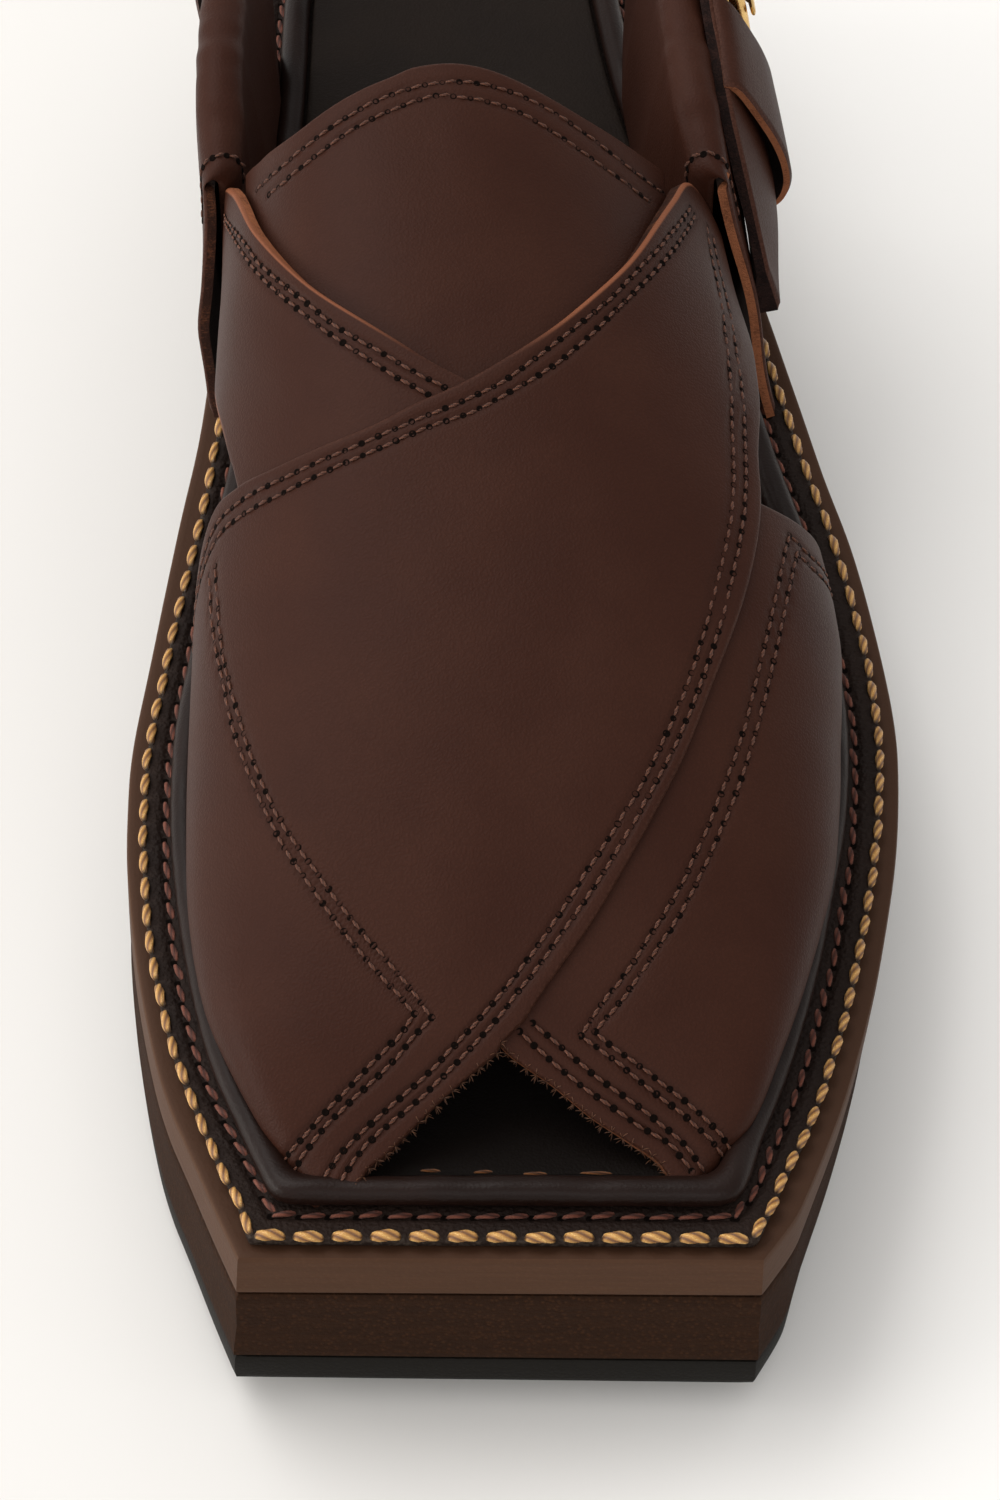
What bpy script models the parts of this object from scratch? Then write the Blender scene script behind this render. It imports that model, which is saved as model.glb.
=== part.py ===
"""Peshawari chappal, left shoe, stood on its sole. Inside the tables every size is in millimetres:
X to the lateral side, S back from the front edge of the sole, Z up from the top of the runner at the ball.
The finished parts are in metres with the toe towards -Y and the ground at Z = 0."""

import bpy
import numpy as np

# ---- driving sizes, millimetres --------------------------------------------------------------------
SOLE_LENGTH = 297.0
BALL_WIDTH = 111.3
RUNNER_THICK = 7.8
MIDSOLE_THICK = 13.8
OUTSOLE_THICK = 5.5
LAYER_GAP = 0.3
HEEL_BREAST_S = 212.0
WELT_EDGE = 2.0          # inset of the welt's outer edge from the edge of the runner
WELT_INNER = 20.0
WELT_THICK = 1.7
ROLL_INSET = 9.0
ROLL_RADIUS = 2.0
INSOLE_INSET = 17.3
INSOLE_WIDE = 11.6
INSOLE_BEHIND = (108.0, 127.0)   # S where the insole widens behind the straps, medial and lateral
INSOLE_THICK = 2.4
INSOLE_FRONT_S = 12.6     # between the straps the insole runs forward to the roll
FOOT_LIFT = 2.3          # the upper stands this far over the runner, on the welt
LAST_TUCK = 4.4          # how far the upper turns in under its widest line
TOP_STRAP = (0.4, 2.9)   # inner and outer face of the top strap, out from the last
UNDER_STRAP = (0.0, 1.8)
TONGUE = (-2.5, -0.8)
QUARTER_THICK = 1.8
STRAP_THICK = 2.0
STRAP_GAP = 0.4
KEEPER_THICK = 1.4
BUCKLE_S = 208.0
BUCKLE_Z = 48.0
BUCKLE_OUT = 2.6         # how far the strap stands off the wall under the buckle
BUCKLE_LONG = 14.0
BUCKLE_TALL = 25.0
BUCKLE_WIRE = 1.25
STACK = RUNNER_THICK + MIDSOLE_THICK + OUTSOLE_THICK + 2 * LAYER_GAP
CENTRE_X = 2.05
CENTRE_S = SOLE_LENGTH / 2

# S, Z of the top of the runner: toe spring in front, the rise to the heel behind
TOP_LINE = (
    (-5, 5.9), (0, 5.0), (15, 2.7), (30, 1.0), (55, 0), (105, 0), (130, 2.0),
    (160, 6.0), (190, 8.8), (212, 10.0), (225, 10.4), (300, 10.4),
)
# S, X of the edge of the sole, from the medial toe corner round the heel to the lateral toe corner
EDGE_MEDIAL = (
    (1.0, -35.0), (10, -38.4), (20, -42.0), (30, -45.6), (40, -48.2), (55, -51.0), (71, -53.0),
    (83, -53.6), (96, -53.4), (114, -51.4), (137, -48.4), (153, -45.9), (165, -44.7),
    (185, -43.2), (205, -42.4), (225, -41.7), (245, -41.4), (262, -40.4), (275, -36.6),
    (286, -29.0), (294.0, -18.0),
)
HEEL_POINT = (297, -8.0)
EDGE_LATERAL = (
    (0.1, 34.3), (12.8, 41.0), (22, 44.9), (31, 48.4), (43, 51.4), (55, 53.9), (73.5, 56.6),
    (90, 57.7), (102, 57.6), (116, 56.1), (133, 53.2), (148, 49.3), (165, 45.4), (185, 40.8),
    (205, 35.2), (225, 30.3), (245, 27.4), (262, 25.6), (275, 21.6), (286, 13.8), (294.0, 2.6),
)
# The last, by stations: S, widest X medial, widest X lateral, X of the crown, height of the widest line
# over the runner, Z of the crown, squareness medial, squareness lateral
LAST = (
    (14.9, -25.5, 25.5, 0.0, 3.2, 7.2, 3.0, 3.0),
    (20.0, -28.1, 29.4, 0.0, 7.0, 12.2, 2.8, 2.8),
    (28.0, -32.2, 33.4, 0.3, 9.6, 17.0, 2.6, 2.5),
    (40.0, -36.5, 38.4, 0.4, 10.8, 22.6, 2.4, 2.3),
    (60.0, -40.4, 44.2, 0.0, 12.0, 31.5, 2.3, 2.15),
    (80.0, -41.3, 46.4, -1.0, 13.0, 39.5, 2.3, 2.1),
    (100.0, -41.2, 47.2, -2.5, 13.5, 46.5, 2.4, 2.05),
    (120.0, -40.8, 44.8, -4.5, 13.0, 53.0, 2.6, 1.95),
    (140.0, -40.4, 40.4, -6.5, 11.0, 59.0, 2.9, 1.88),
    (160.0, -39.7, 35.2, -8.0, 10.0, 64.5, 3.1, 1.85),
    (180.0, -40.0, 32.5, -9.0, 10.0, 68.5, 3.2, 1.85),
)
# Edges of the straps on the last: S, girth from 0 at the medial foot to 1 at the lateral foot
TOP_STRAP_MEDIAL = ((15.2, 0.0), (35, 0.0), (60, 0.0), (82, 0.0), (101, 0.0))
TOP_STRAP_EDGE = (
    (15.0, 0.205), (18.8, 0.345), (22.2, 0.423), (26.7, 0.498), (32.3, 0.549), (37.9, 0.589),
    (47.1, 0.634), (59.8, 0.663), (76.4, 0.699), (90, 0.723), (107, 0.744), (118, 0.756),
    (132, 0.775), (148, 0.800), (165, 0.822),
)
TOP_STRAP_BACK = (
    (101, 0.0), (106.5, 0.10), (111.5, 0.194), (110.6, 0.244), (109.3, 0.293), (109.7, 0.345),
    (110.9, 0.386), (113.4, 0.426), (116.7, 0.476), (121.6, 0.521), (125.5, 0.559), (131.1, 0.599),
    (139.6, 0.643), (148.2, 0.673), (158.6, 0.704), (165, 0.727), (165, 0.822),
)
UNDER_STRAP_LATERAL = ((15.2, 1.0), (40, 1.0), (66, 1.0), (92, 1.0), (120, 1.0))
UNDER_STRAP_EDGE = (
    (15.0, 0.850), (16.6, 0.774), (18.9, 0.683), (21.6, 0.594), (24.4, 0.546), (26.9, 0.511),
    (36, 0.430), (52, 0.352), (72, 0.290), (92, 0.253), (112.2, 0.234), (119.5, 0.221),
    (126, 0.216), (138, 0.184), (152, 0.162), (167, 0.150),
)
UNDER_STRAP_BACK = (
    (120, 1.0), (116.5, 0.90), (111.5, 0.817), (108.8, 0.753), (108.5, 0.690), (109.5, 0.620),
    (112.2, 0.540), (117.2, 0.471), (123.8, 0.418), (126.6, 0.393), (131.4, 0.362), (137, 0.335),
    (142.8, 0.312), (150, 0.289), (157.2, 0.265), (167, 0.240), (167, 0.150),
)
TONGUE_MEDIAL = ((88, 0.44), (100, 0.40), (112, 0.36), (126, 0.32), (140, 0.285), (152, 0.25), (163.6, 0.229))
TONGUE_LATERAL = ((88, 0.50), (98, 0.55), (110, 0.60), (124, 0.645), (138, 0.68), (150, 0.700), (161.6, 0.712))
TONGUE_TOP = (
    (163.6, 0.229), (164.2, 0.268), (163.6, 0.315), (163.2, 0.362), (166.4, 0.405), (168.9, 0.438),
    (170.1, 0.47), (170.4, 0.505), (169.6, 0.545), (166.9, 0.590), (164.4, 0.635), (162.2, 0.682),
    (161.6, 0.712),
)
# The side wall outside the vamp, from the medial front round the heel to the lateral front:
# X and S at the foot, X and S at the height WALL_TOP
WALL_TOP = 52.0
WALL = (
    (-44.8, 140, -42.6, 148), (-42.6, 152, -43.6, 158), (-40.4, 165, -44.8, 170),
    (-38.4, 185, -45.6, 188), (-37.4, 205, -45.2, 207), (-36.7, 225, -43.6, 226),
    (-36.4, 245, -41.2, 245), (-35.0, 261, -38.0, 262), (-30.6, 274.5, -31.6, 274.5),
    (-21.4, 286.0, -21.4, 285.0), (-8.0, 291.0, -8.0, 289.0), (5.4, 286.0, 5.4, 285.0),
    (15.0, 274.5, 15.0, 274.5), (20.6, 261, 21.8, 262), (22.6, 245, 26.0, 245),
    (25.6, 225, 28.6, 226), (30.8, 205, 30.6, 206), (36.2, 185, 31.2, 187),
    (40.9, 165, 31.2, 170), (43.8, 152, 30.9, 158), (47.0, 140, 31.2, 148),
)
# S and how far the middle of the wall bows out
WALL_BOW = ((150, 0.5), (165, 1.8), (185, 3.0), (225, 2.4), (262, 1.0), (290, 0.0))
# Front and back edges of the quarters: Z, S
QUARTER_FRONT = ((4, 156.5), (12, 158), (22, 160.4), (32, 163.2), (42, 166.0), (48, 166.8), (56, 167.5))
QUARTER_BACK = ((10, 234), (25, 231), (40, 229), (56, 229))
# Heel strap on the wall: S of the wall, height of the middle, half width, how far it stands off the
# wall, and how much farther its lower edge stands off
STRAP_MEDIAL = (
    (214, 45, 10.0, 0, 0), (228, 46, 10.0, 0, 0), (245, 47, 10.0, 0, 0), (262, 47.5, 10.0, 0, 0),
)
STRAP_BACK_Z = 48.0
STRAP_LATERAL = (
    (262, 48.5, 10.0, 0, 0), (245, 49.5, 10.0, 0, 0), (230, 49.5, 10.0, 0.9, 0),
    (218, 49.2, 10.0, 2.3, 0), (208, 48.0, 10.0, 2.4, 0), (198, 45.4, 10.0, 1.8, 0.2),
    (188, 42.2, 10.0, 1.0, 0.4), (179, 39.4, 10.0, 0.5, 0.4), (170, 36.4, 9.9, 0.4, 0.6),
    (166, 35.0, 9.6, 0.4, 0.6), (164.8, 34.5, 9.0, 0.4, 0.6),
)
# Over this length the free end's cut turns upright
STRAP_TIP = 18.0
# The keeper along the strap, and its cross profile in shares of its own half width
KEEPER_LINE = (
    (198.0, 44.6, 9.4, 1.5, 0), (193, 43.0, 9.4, 1.0, 0), (188, 41.4, 9.4, 0.5, 0), (183.5, 40.0, 9.4, 0.1, 0),
)
KEEPER_SHARE = (-1.36, -1.3, -1.14, -0.85, -0.45, 0, 0.4, 0.75, 1.05, 1.32, 1.46)
KEEPER_LIFT = (0.3, 3.9, 7.1, 7.9, 7.6, 6.8, 6.2, 5.7, 5.2, 4.4, 0.3)

LEATHER = ("vamp_leather", (0.062, 0.022, 0.014), 0.45)
SMOOTH_LEATHER = ("roll_leather", (0.028, 0.011, 0.009), 0.4)
BLACK_LEATHER = ("footbed_leather", (0.013, 0.011, 0.010), 0.5)
RUNNER_BOARD = ("runner_board", (0.080, 0.042, 0.026), 0.6)
FOAM = ("midsole_foam", (0.032, 0.014, 0.009), 0.85)
RUBBER = ("black_rubber", (0.013, 0.012, 0.012), 0.6)
BRASS = ("brass", (0.78, 0.53, 0.21), 0.28)


# ---- curves ------------------------------------------------------------------------------------------
def smooth_table(xs, ys):
    """A monotone cubic through a table, held flat outside its ends."""
    xs = np.asarray(xs, float)
    ys = np.asarray(ys, float)
    h = np.diff(xs)
    d = np.diff(ys) / h
    m = np.zeros(len(xs))
    for i in range(1, len(xs) - 1):
        if d[i - 1] * d[i] > 0:
            a = 2 * h[i] + h[i - 1]
            b = h[i] + 2 * h[i - 1]
            m[i] = (a + b) / (a / d[i - 1] + b / d[i])
    m[0] = d[0]
    m[-1] = d[-1]

    def at(x):
        x = np.clip(x, xs[0], xs[-1])
        i = np.clip(np.searchsorted(xs, x) - 1, 0, len(h) - 1)
        t = (x - xs[i]) / h[i]
        return (
            (2 * t**3 - 3 * t**2 + 1) * ys[i]
            + (t**3 - 2 * t**2 + t) * h[i] * m[i]
            + (3 * t**2 - 2 * t**3) * ys[i + 1]
            + (t**3 - t**2) * h[i] * m[i + 1]
        )

    return at


def spline(points, count, scale=(1.0, 1.0)):
    """A Catmull-Rom curve through plane points, resampled evenly by length."""
    p = np.asarray(points, float)
    ends = np.vstack([2 * p[0] - p[1], p, 2 * p[-1] - p[-2]])
    out = []
    for i in range(len(p) - 1):
        a, b, c, d = ends[i : i + 4]
        for t in np.linspace(0, 1, 12, endpoint=False):
            out.append(0.5 * (2 * b + (c - a) * t + (2 * a - 5 * b + 4 * c - d) * t**2
                              + (3 * b - a - 3 * c + d) * t**3))
    out.append(p[-1])
    return resample(np.array(out), count, scale)


def resample(line, count, scale=(1.0, 1.0)):
    """Count points evenly along a line; scale weighs its columns when lengths are measured."""
    step = np.linalg.norm(np.diff(line, axis=0) * np.asarray(scale[: line.shape[1]]), axis=1)
    along = np.r_[0, np.cumsum(step)]
    wanted = np.linspace(0, along[-1], count)
    return np.stack([np.interp(wanted, along, line[:, k]) for k in range(line.shape[1])], 1)


runner_top = smooth_table(*np.array(TOP_LINE).T)


# ---- the outline of the sole and its insets ------------------------------------------------------------
def edge_line():
    """The edge of the sole as X, S points: the front first, then round the heel, closed."""
    medial = [(x, s) for s, x in EDGE_MEDIAL]
    lateral = [(x, s) for s, x in EDGE_LATERAL]
    round_heel = lateral + [(HEEL_POINT[1], HEEL_POINT[0])] + medial[::-1]
    side = spline(round_heel, 900)
    front = resample(np.array([medial[0], lateral[0]], float), 110)
    return np.vstack([front[:-1], side[:-1]])


EDGE = edge_line()
CORNERS = (np.array([-35.0, 1.0]), np.array([34.3, 0.1]))


def loop(inset, rounding=0.0, front=12, side=66):
    """The outline moved in by inset, as X, S points that start at the middle of the front."""
    ahead = np.roll(EDGE, -1, 0) - np.roll(EDGE, 1, 0)
    inward = np.stack([-ahead[:, 1], ahead[:, 0]], 1)
    inward /= np.linalg.norm(inward, axis=1)[:, None]
    moved = EDGE + inward * inset
    far = np.array([np.min(np.hypot(*(EDGE - q).T)) for q in moved])
    kept = moved[far > inset - 0.02] if inset > 0 else moved
    turns = []
    for corner, lean in zip(CORNERS, ((0.66, 1.0), (-0.62, 1.0))):
        target = corner + np.array(lean) * inset
        turns.append(int(np.argmin(np.hypot(*(kept - target).T))))
    kept = np.roll(kept, -turns[0], 0)
    turn = (turns[1] - turns[0]) % len(kept)
    closed = np.vstack([kept, kept[:1]])
    ahead_line = resample(closed[: turn + 1], front + 1)
    round_line = resample(closed[turn:], side + 1)
    ring = np.vstack([ahead_line[:-1], round_line[:-1]])
    if rounding > 0:
        fine = resample(np.vstack([closed, closed[1:2]])[:-1], 1200)[:-1]
        half = int(rounding / (np.linalg.norm(np.diff(fine, axis=0), axis=1).mean()))
        wide = np.vstack([fine[-half:], fine, fine[:half]])
        soft = np.stack([np.convolve(wide[:, k], np.ones(2 * half + 1) / (2 * half + 1), "valid")
                         for k in range(2)], 1)
        ring = np.array([soft[np.argmin(np.hypot(*(soft - q).T))] for q in ring])
    return np.roll(ring, -(front // 2), 0)


# ---- meshes --------------------------------------------------------------------------------------------
def material(slot):
    name, colour, rough = slot
    found = bpy.data.materials.get(name)
    if found:
        return found
    made = bpy.data.materials.new(name)
    made.use_nodes = True
    shader = made.node_tree.nodes["Principled BSDF"]
    shader.inputs["Base Color"].default_value = (*colour, 1)
    shader.inputs["Roughness"].default_value = rough
    shader.inputs["Metallic"].default_value = 1.0 if name == "brass" else 0.0
    return made


def to_world(points):
    p = np.asarray(points, float)
    return np.stack([p[..., 0] - CENTRE_X, p[..., 1] - CENTRE_S, p[..., 2] + STACK], -1) / 1000


def build(name, points, faces, slot, angle=35):
    """One named object from points in the shoe's own sizes, turned to face out."""
    mesh = bpy.data.meshes.new(name)
    mesh.from_pydata([tuple(p) for p in to_world(points)], [], [tuple(int(i) for i in f) for f in faces])
    mesh.validate()
    tris = np.array([(f[0], f[i], f[i + 1]) for f in faces for i in range(1, len(f) - 1)])
    q = np.asarray(points, float)
    volume = np.einsum("ij,ij->i", q[tris[:, 0]], np.cross(q[tris[:, 1]], q[tris[:, 2]])).sum()
    if volume < 0:
        mesh.flip_normals()
    mesh.materials.append(material(slot))
    made = bpy.data.objects.new(name, mesh)
    bpy.context.scene.collection.objects.link(made)
    mesh.shade_smooth()
    mesh.set_sharp_from_angle(angle=np.radians(angle))
    return made


def bridge(a, b, count, closed=True):
    """Quads between two rings of points that start at index a and b."""
    last = count if closed else count - 1
    return [(a + i, a + (i + 1) % count, b + (i + 1) % count, b + i) for i in range(last)]


def ladder(start, count):
    """A cap over a ring: rungs between the medial and lateral halves."""
    faces = [(start, start + 1, start + count - 1)]
    for i in range(1, count // 2 - 1):
        faces.append((start + i, start + i + 1, start + count - i - 1, start + count - i))
    half = count // 2
    faces.append((start + half - 1, start + half, start + half + 1))
    return faces


def layer(name, rows, slot, rounding=0.0, nose=None):
    """A sole layer: rows of inset and height over the runner's top line, from the top down."""
    points = []
    for inset, dz in rows:
        ring = loop(inset, rounding)
        if nose is not None:
            wide = loop(inset - INSOLE_INSET + INSOLE_WIDE, rounding)
            start = np.where(ring[:, 0] < 0, INSOLE_BEHIND[0], INSOLE_BEHIND[1])
            share = np.clip((ring[:, 1] - start) / 8, 0, 1)[:, None]
            ring = ring * (1 - share) + wide * share
            ahead = (ring[:, 1] < 24) & (np.abs(ring[:, 0] - 1) < 17)
            ring[ahead, 1] = nose + inset - rows[-1][0]
        z = runner_top(ring[:, 1]) + dz
        points.append(np.column_stack([ring, z]))
    count = len(points[0])
    faces = ladder(0, count)
    for k in range(len(rows) - 1):
        faces += [f[::-1] for f in bridge(k * count, (k + 1) * count, count)]
    faces += [f[::-1] for f in ladder((len(rows) - 1) * count, count)]
    return build(name, np.vstack(points), faces, slot)


def ring_solid(name, profile, slot, rounding=0.0, angle=40):
    """A closed profile of inset and height carried all round the outline."""
    points = []
    for inset, dz in profile:
        ring = loop(inset, rounding)
        points.append(np.column_stack([ring, runner_top(ring[:, 1]) + dz]))
    count = len(points[0])
    faces = []
    for k in range(len(profile)):
        faces += bridge(k * count, ((k + 1) % len(profile)) * count, count)
    return build(name, np.vstack(points), faces, slot, angle)


def shell(name, outer, inner, slot, angle=40):
    """A sheet between two grids of points, closed along its edges."""
    n, m = outer.shape[:2]
    points = np.vstack([outer.reshape(-1, 3), inner.reshape(-1, 3)])
    faces = []
    for i in range(n - 1):
        for j in range(m - 1):
            a = i * m + j
            faces.append((a, a + 1, a + m + 1, a + m))
            b = a + n * m
            faces.append((b, b + m, b + m + 1, b + 1))
    rim = [i * m for i in range(n)] + [(n - 1) * m + j for j in range(1, m)]
    rim += [i * m + m - 1 for i in range(n - 2, -1, -1)] + [j for j in range(m - 2, 0, -1)]
    for k, a in enumerate(rim):
        b = rim[(k + 1) % len(rim)]
        faces.append((a, b, b + n * m, a + n * m))
    halves = [half for f in faces for half in ((f[0], f[1], f[2]), (f[0], f[2], f[3]))]
    return build(name, points, halves, slot, angle)


# ---- the last ------------------------------------------------------------------------------------------
LAST_CURVES = [smooth_table([row[0] for row in LAST], [row[k] for row in LAST]) for k in range(1, 8)]


def last_section(s):
    """One section of the last: share of the girth, X and Z, from the medial foot to the lateral foot."""
    medial, lateral, crown, wide, top, square_m, square_l = [float(f(s)) for f in LAST_CURVES]
    foot = float(runner_top(s)) + FOOT_LIFT
    wide = max(wide + float(runner_top(s)), foot + 0.4)
    top = max(top, wide + 0.5)
    turn = np.linspace(-120, 120, 241)
    angle = np.radians(np.clip(np.abs(turn), 0, 90))
    square = np.where(turn < 0, square_m, square_l)
    reach = np.where(turn < 0, crown - medial, lateral - crown) * np.sin(angle) ** (2 / square)
    z = wide + (top - wide) * np.abs(np.cos(angle)) ** (2 / square)
    under = np.clip((np.abs(turn) - 90) / 30, 0, 1)
    z = np.where(under > 0, wide - (wide - foot) * under, z)
    x = crown + np.sign(turn) * (reach - LAST_TUCK * np.sin(under * np.pi / 2) ** 1.6)
    along = np.r_[0, np.cumsum(np.hypot(np.diff(x), np.diff(z)))]
    return along / along[-1], x, z


def last_point(s, g):
    share, x, z = last_section(s)
    return np.array([np.interp(g, share, x), s, np.interp(g, share, z)])


def last_normal(s, g):
    ds = last_point(s + 0.6, g) - last_point(max(s - 0.6, 14.9), g)
    dg = last_point(s, min(g + 0.006, 1)) - last_point(s, max(g - 0.006, 0))
    normal = np.cross(dg, ds)
    normal = -normal / np.linalg.norm(normal)
    return normal if normal @ np.array([last_point(s, g)[0] - last_point(s, 0.5)[0], 0, 12.0]) > 0 else -normal


def strap_patch(start, side_a, side_b, end, along=26, across=13):
    """Points S, girth over a strap: side_a and side_b run back from the toe, start and end cross it."""
    girth_mm = 150.0
    a = spline(side_a, along, (1, girth_mm))
    b = spline(side_b, along, (1, girth_mm))
    c = spline(start, across, (1, girth_mm))
    d = spline(end, across, (1, girth_mm))
    u = np.linspace(0, 1, along)[:, None, None]
    v = np.linspace(0, 1, across)[None, :, None]
    ruled = (1 - v) * a[:, None] + v * b[:, None] + (1 - u) * c[None] + u * d[None]
    corners = (1 - u) * ((1 - v) * a[0] + v * b[0]) + u * ((1 - v) * a[-1] + v * b[-1])
    return ruled - corners


def on_last(patch, offset):
    """The patch's points moved out from the last, none of them under the foot line."""
    grid = np.array([[last_point(*q) + offset * last_normal(*q) for q in row] for row in patch])
    grid[..., 2] = np.maximum(grid[..., 2], runner_top(grid[..., 1]) + FOOT_LIFT)
    return grid


def main_upper():
    """The crossed vamp: both straps laid over the last and joined where they cross."""
    top = strap_patch(
        [(15.2, 0.0), (15.0, 0.07), (15.0, 0.14), (15.0, 0.205)],
        TOP_STRAP_MEDIAL, TOP_STRAP_EDGE, TOP_STRAP_BACK, 27, 15,
    )
    under = strap_patch(
        [(15.2, 1.0), (15.0, 0.95), (15.0, 0.90), (15.0, 0.850)],
        UNDER_STRAP_LATERAL, UNDER_STRAP_EDGE, UNDER_STRAP_BACK, 28, 14,
    )
    upper = shell("upper", on_last(top, TOP_STRAP[1]), on_last(top, TOP_STRAP[0]), LEATHER)
    second = shell("under_strap_cut", on_last(under, UNDER_STRAP[1]), on_last(under, UNDER_STRAP[0]), LEATHER)
    second.hide_render = True
    second.display_type = "WIRE"
    join = upper.modifiers.new("join", "BOOLEAN")
    join.operation = "UNION"
    join.solver = "EXACT"
    join.object = second
    tongue = strap_patch(
        [(88, 0.44), (88, 0.46), (88, 0.48), (88, 0.50)],
        TONGUE_MEDIAL, TONGUE_LATERAL, TONGUE_TOP, 14, 13,
    )
    shell("tongue", on_last(tongue, TONGUE[1]), on_last(tongue, TONGUE[0]), LEATHER)


# ---- the side wall: quarters, heel strap, keeper, buckle -------------------------------------------------
WALL_ROWS = np.array(WALL, float)
WALL_ALONG = np.r_[0, np.cumsum(np.hypot(*(np.diff(WALL_ROWS[:, :2], axis=0)).T))]
WALL_CURVES = [smooth_table(WALL_ALONG, WALL_ROWS[:, k]) for k in range(4)]
wall_bow = smooth_table(*np.array(WALL_BOW).T)
HEEL_ROW = 10


def wall_point(a, z, out=0.0):
    """A point of the wall at a along its foot and height z, moved out by out."""
    def face(a, z):
        xb, sb, xt, st = [float(f(a)) for f in WALL_CURVES]
        foot = float(runner_top(sb)) + FOOT_LIFT
        w = (z - foot) / (WALL_TOP - foot)
        side = np.array([xt - xb, st - sb])
        xy = np.array([xb, sb]) + side * w
        e = 0.8
        ahead = np.array([float(WALL_CURVES[0](a + e) - WALL_CURVES[0](a - e)),
                          float(WALL_CURVES[1](a + e) - WALL_CURVES[1](a - e))])
        away = np.array([-ahead[1], ahead[0]]) / np.linalg.norm(ahead)
        xy = xy + away * float(wall_bow(sb)) * 4 * max(w * (1 - w), -0.1)
        return np.array([xy[0], xy[1], z])
    p = face(a, z)
    da = face(a + 0.8, z) - face(a - 0.8, z)
    dz = face(a, z + 0.8) - face(a, z - 0.8)
    normal = np.cross(dz, da)
    normal /= np.linalg.norm(normal)
    return p + normal * out


def along_of(s, side):
    """Where the wall's foot line passes S, on the medial (-1) or lateral (+1) side."""
    if side < 0:
        return float(np.interp(s, WALL_ROWS[: HEEL_ROW + 1, 1], WALL_ALONG[: HEEL_ROW + 1]))
    return float(np.interp(-s, -WALL_ROWS[HEEL_ROW:, 1], WALL_ALONG[HEEL_ROW:]))


def grid_normals(grid, towards):
    ds = np.gradient(grid, axis=0)
    dg = np.gradient(grid, axis=1)
    normal = np.cross(ds, dg)
    normal /= np.linalg.norm(normal, axis=2)[..., None]
    return normal if (normal[:, 2] * towards).sum() > 0 else -normal


def quarter(name, side):
    """A quarter: up from the welt, its top edge rolled over and turned down inside."""
    front = smooth_table(*np.array(QUARTER_FRONT).T)
    back = smooth_table(*np.array(QUARTER_BACK).T)
    columns = 15
    heights = np.array([0.0, 0.18, 0.36, 0.55, 0.74, 0.90, 1.0])
    rolled = np.radians([25, 50, 80, 110, 140, 170])
    grid = []
    for i in range(columns):
        t = (i / (columns - 1)) ** 1.1
        row = []
        edge_top = 48.0
        for h in heights:
            s0 = (1 - t) * float(front(3 + h * 45)) + t * float(back(12 + h * 36))
            foot = float(runner_top(s0)) + FOOT_LIFT
            z = foot + h * (edge_top - foot)
            row.append(wall_point(along_of(s0, side), z))
        last, before = row[-1], row[-2]
        s_top = last[1]
        width = 4.6 + 2.4 * np.clip((s_top - 162) / 14, 0, 1)
        drop = 9.5 * np.clip((s_top - 166) / 16, 0, 1)
        turn_to = rolled[: 6 if s_top > 168 else 5]
        rise = 3.6
        for a in rolled:
            a = min(a, turn_to[-1])
            x = last[0] - side * width / 2 * (1 - np.cos(a))
            row.append(np.array([x, s_top + 0.5 * (1 - np.cos(a)), last[2] + rise * np.sin(a)]))
        end = row[-1]
        row.append(end + np.array([-side * 0.4, 0.2, -1.2 - drop]))
        grid.append(row)
    grid = np.array(grid)
    normal = grid_normals(grid, np.array([side, 0.0, 0.0]))
    return shell(name, grid, grid - normal * QUARTER_THICK, LEATHER)


def strap_line(rows, side):
    return [(along_of(s, side), *rest) for s, *rest in rows]


def strip_grid(line, count, out, cross, upright=0.0):
    """Points over a strip of the wall: line holds along, height, half width, stand-off and flare; cross
    holds, for each row across, its share of the half width and what it adds to out. The far end is cut
    upright over the last length of upright, or all of the strip is where upright is under 0."""
    path = spline(np.array(line), count, (1, 1, 0, 0, 0))
    ahead = np.gradient(path[:, :2], axis=0)
    ahead /= np.linalg.norm(ahead, axis=1)[:, None]
    up = np.stack([-ahead[:, 1], ahead[:, 0]], 1)
    left = np.r_[np.cumsum(np.linalg.norm(np.diff(path[::-1, :2], axis=0), axis=1))[::-1], 0.0]
    turned = np.clip(1 - left / max(upright, 0.01), 0, 1) if upright >= 0 else np.ones(len(path))
    up = up * (1 - turned[:, None]) + np.outer(turned / up[:, 1], (0.0, 1.0))
    rows = []
    for q, n in zip(path, up):
        spots = [(q[:2] + n * q[2] * share, lift + q[3] + q[4] * (1 - share) / 2) for share, lift in cross]
        rows.append([wall_point(spot[0], spot[1], out + lift) for spot, lift in spots])
    return np.array(rows)


def heel_strap():
    """The strap from the medial quarter round the heel and through the buckle to its free end."""
    line = strap_line(STRAP_MEDIAL, -1)
    line += [(WALL_ALONG[HEEL_ROW], STRAP_BACK_Z, 10.0, 0, 0)]
    line += strap_line(STRAP_LATERAL, 1)
    cross = [(share, 0.0) for share in (-1, -0.33, 0.33, 1)]
    outer = strip_grid(line, 44, STRAP_GAP + STRAP_THICK, cross, STRAP_TIP)
    inner = strip_grid(line, 44, STRAP_GAP, cross, STRAP_TIP)
    shell("heel_strap", outer, inner, LEATHER)


def keeper():
    """The leather keeper: a wide band over the strap, its two ends down on the quarter."""
    line = strap_line(KEEPER_LINE, 1)
    cross = list(zip(KEEPER_SHARE, KEEPER_LIFT))
    outer = strip_grid(line, 6, KEEPER_THICK, cross, -1.0)
    normal = grid_normals(outer, np.array([1.0, 0.0, 0.3]))
    shell("keeper", outer, outer - normal * KEEPER_THICK, LEATHER)


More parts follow.
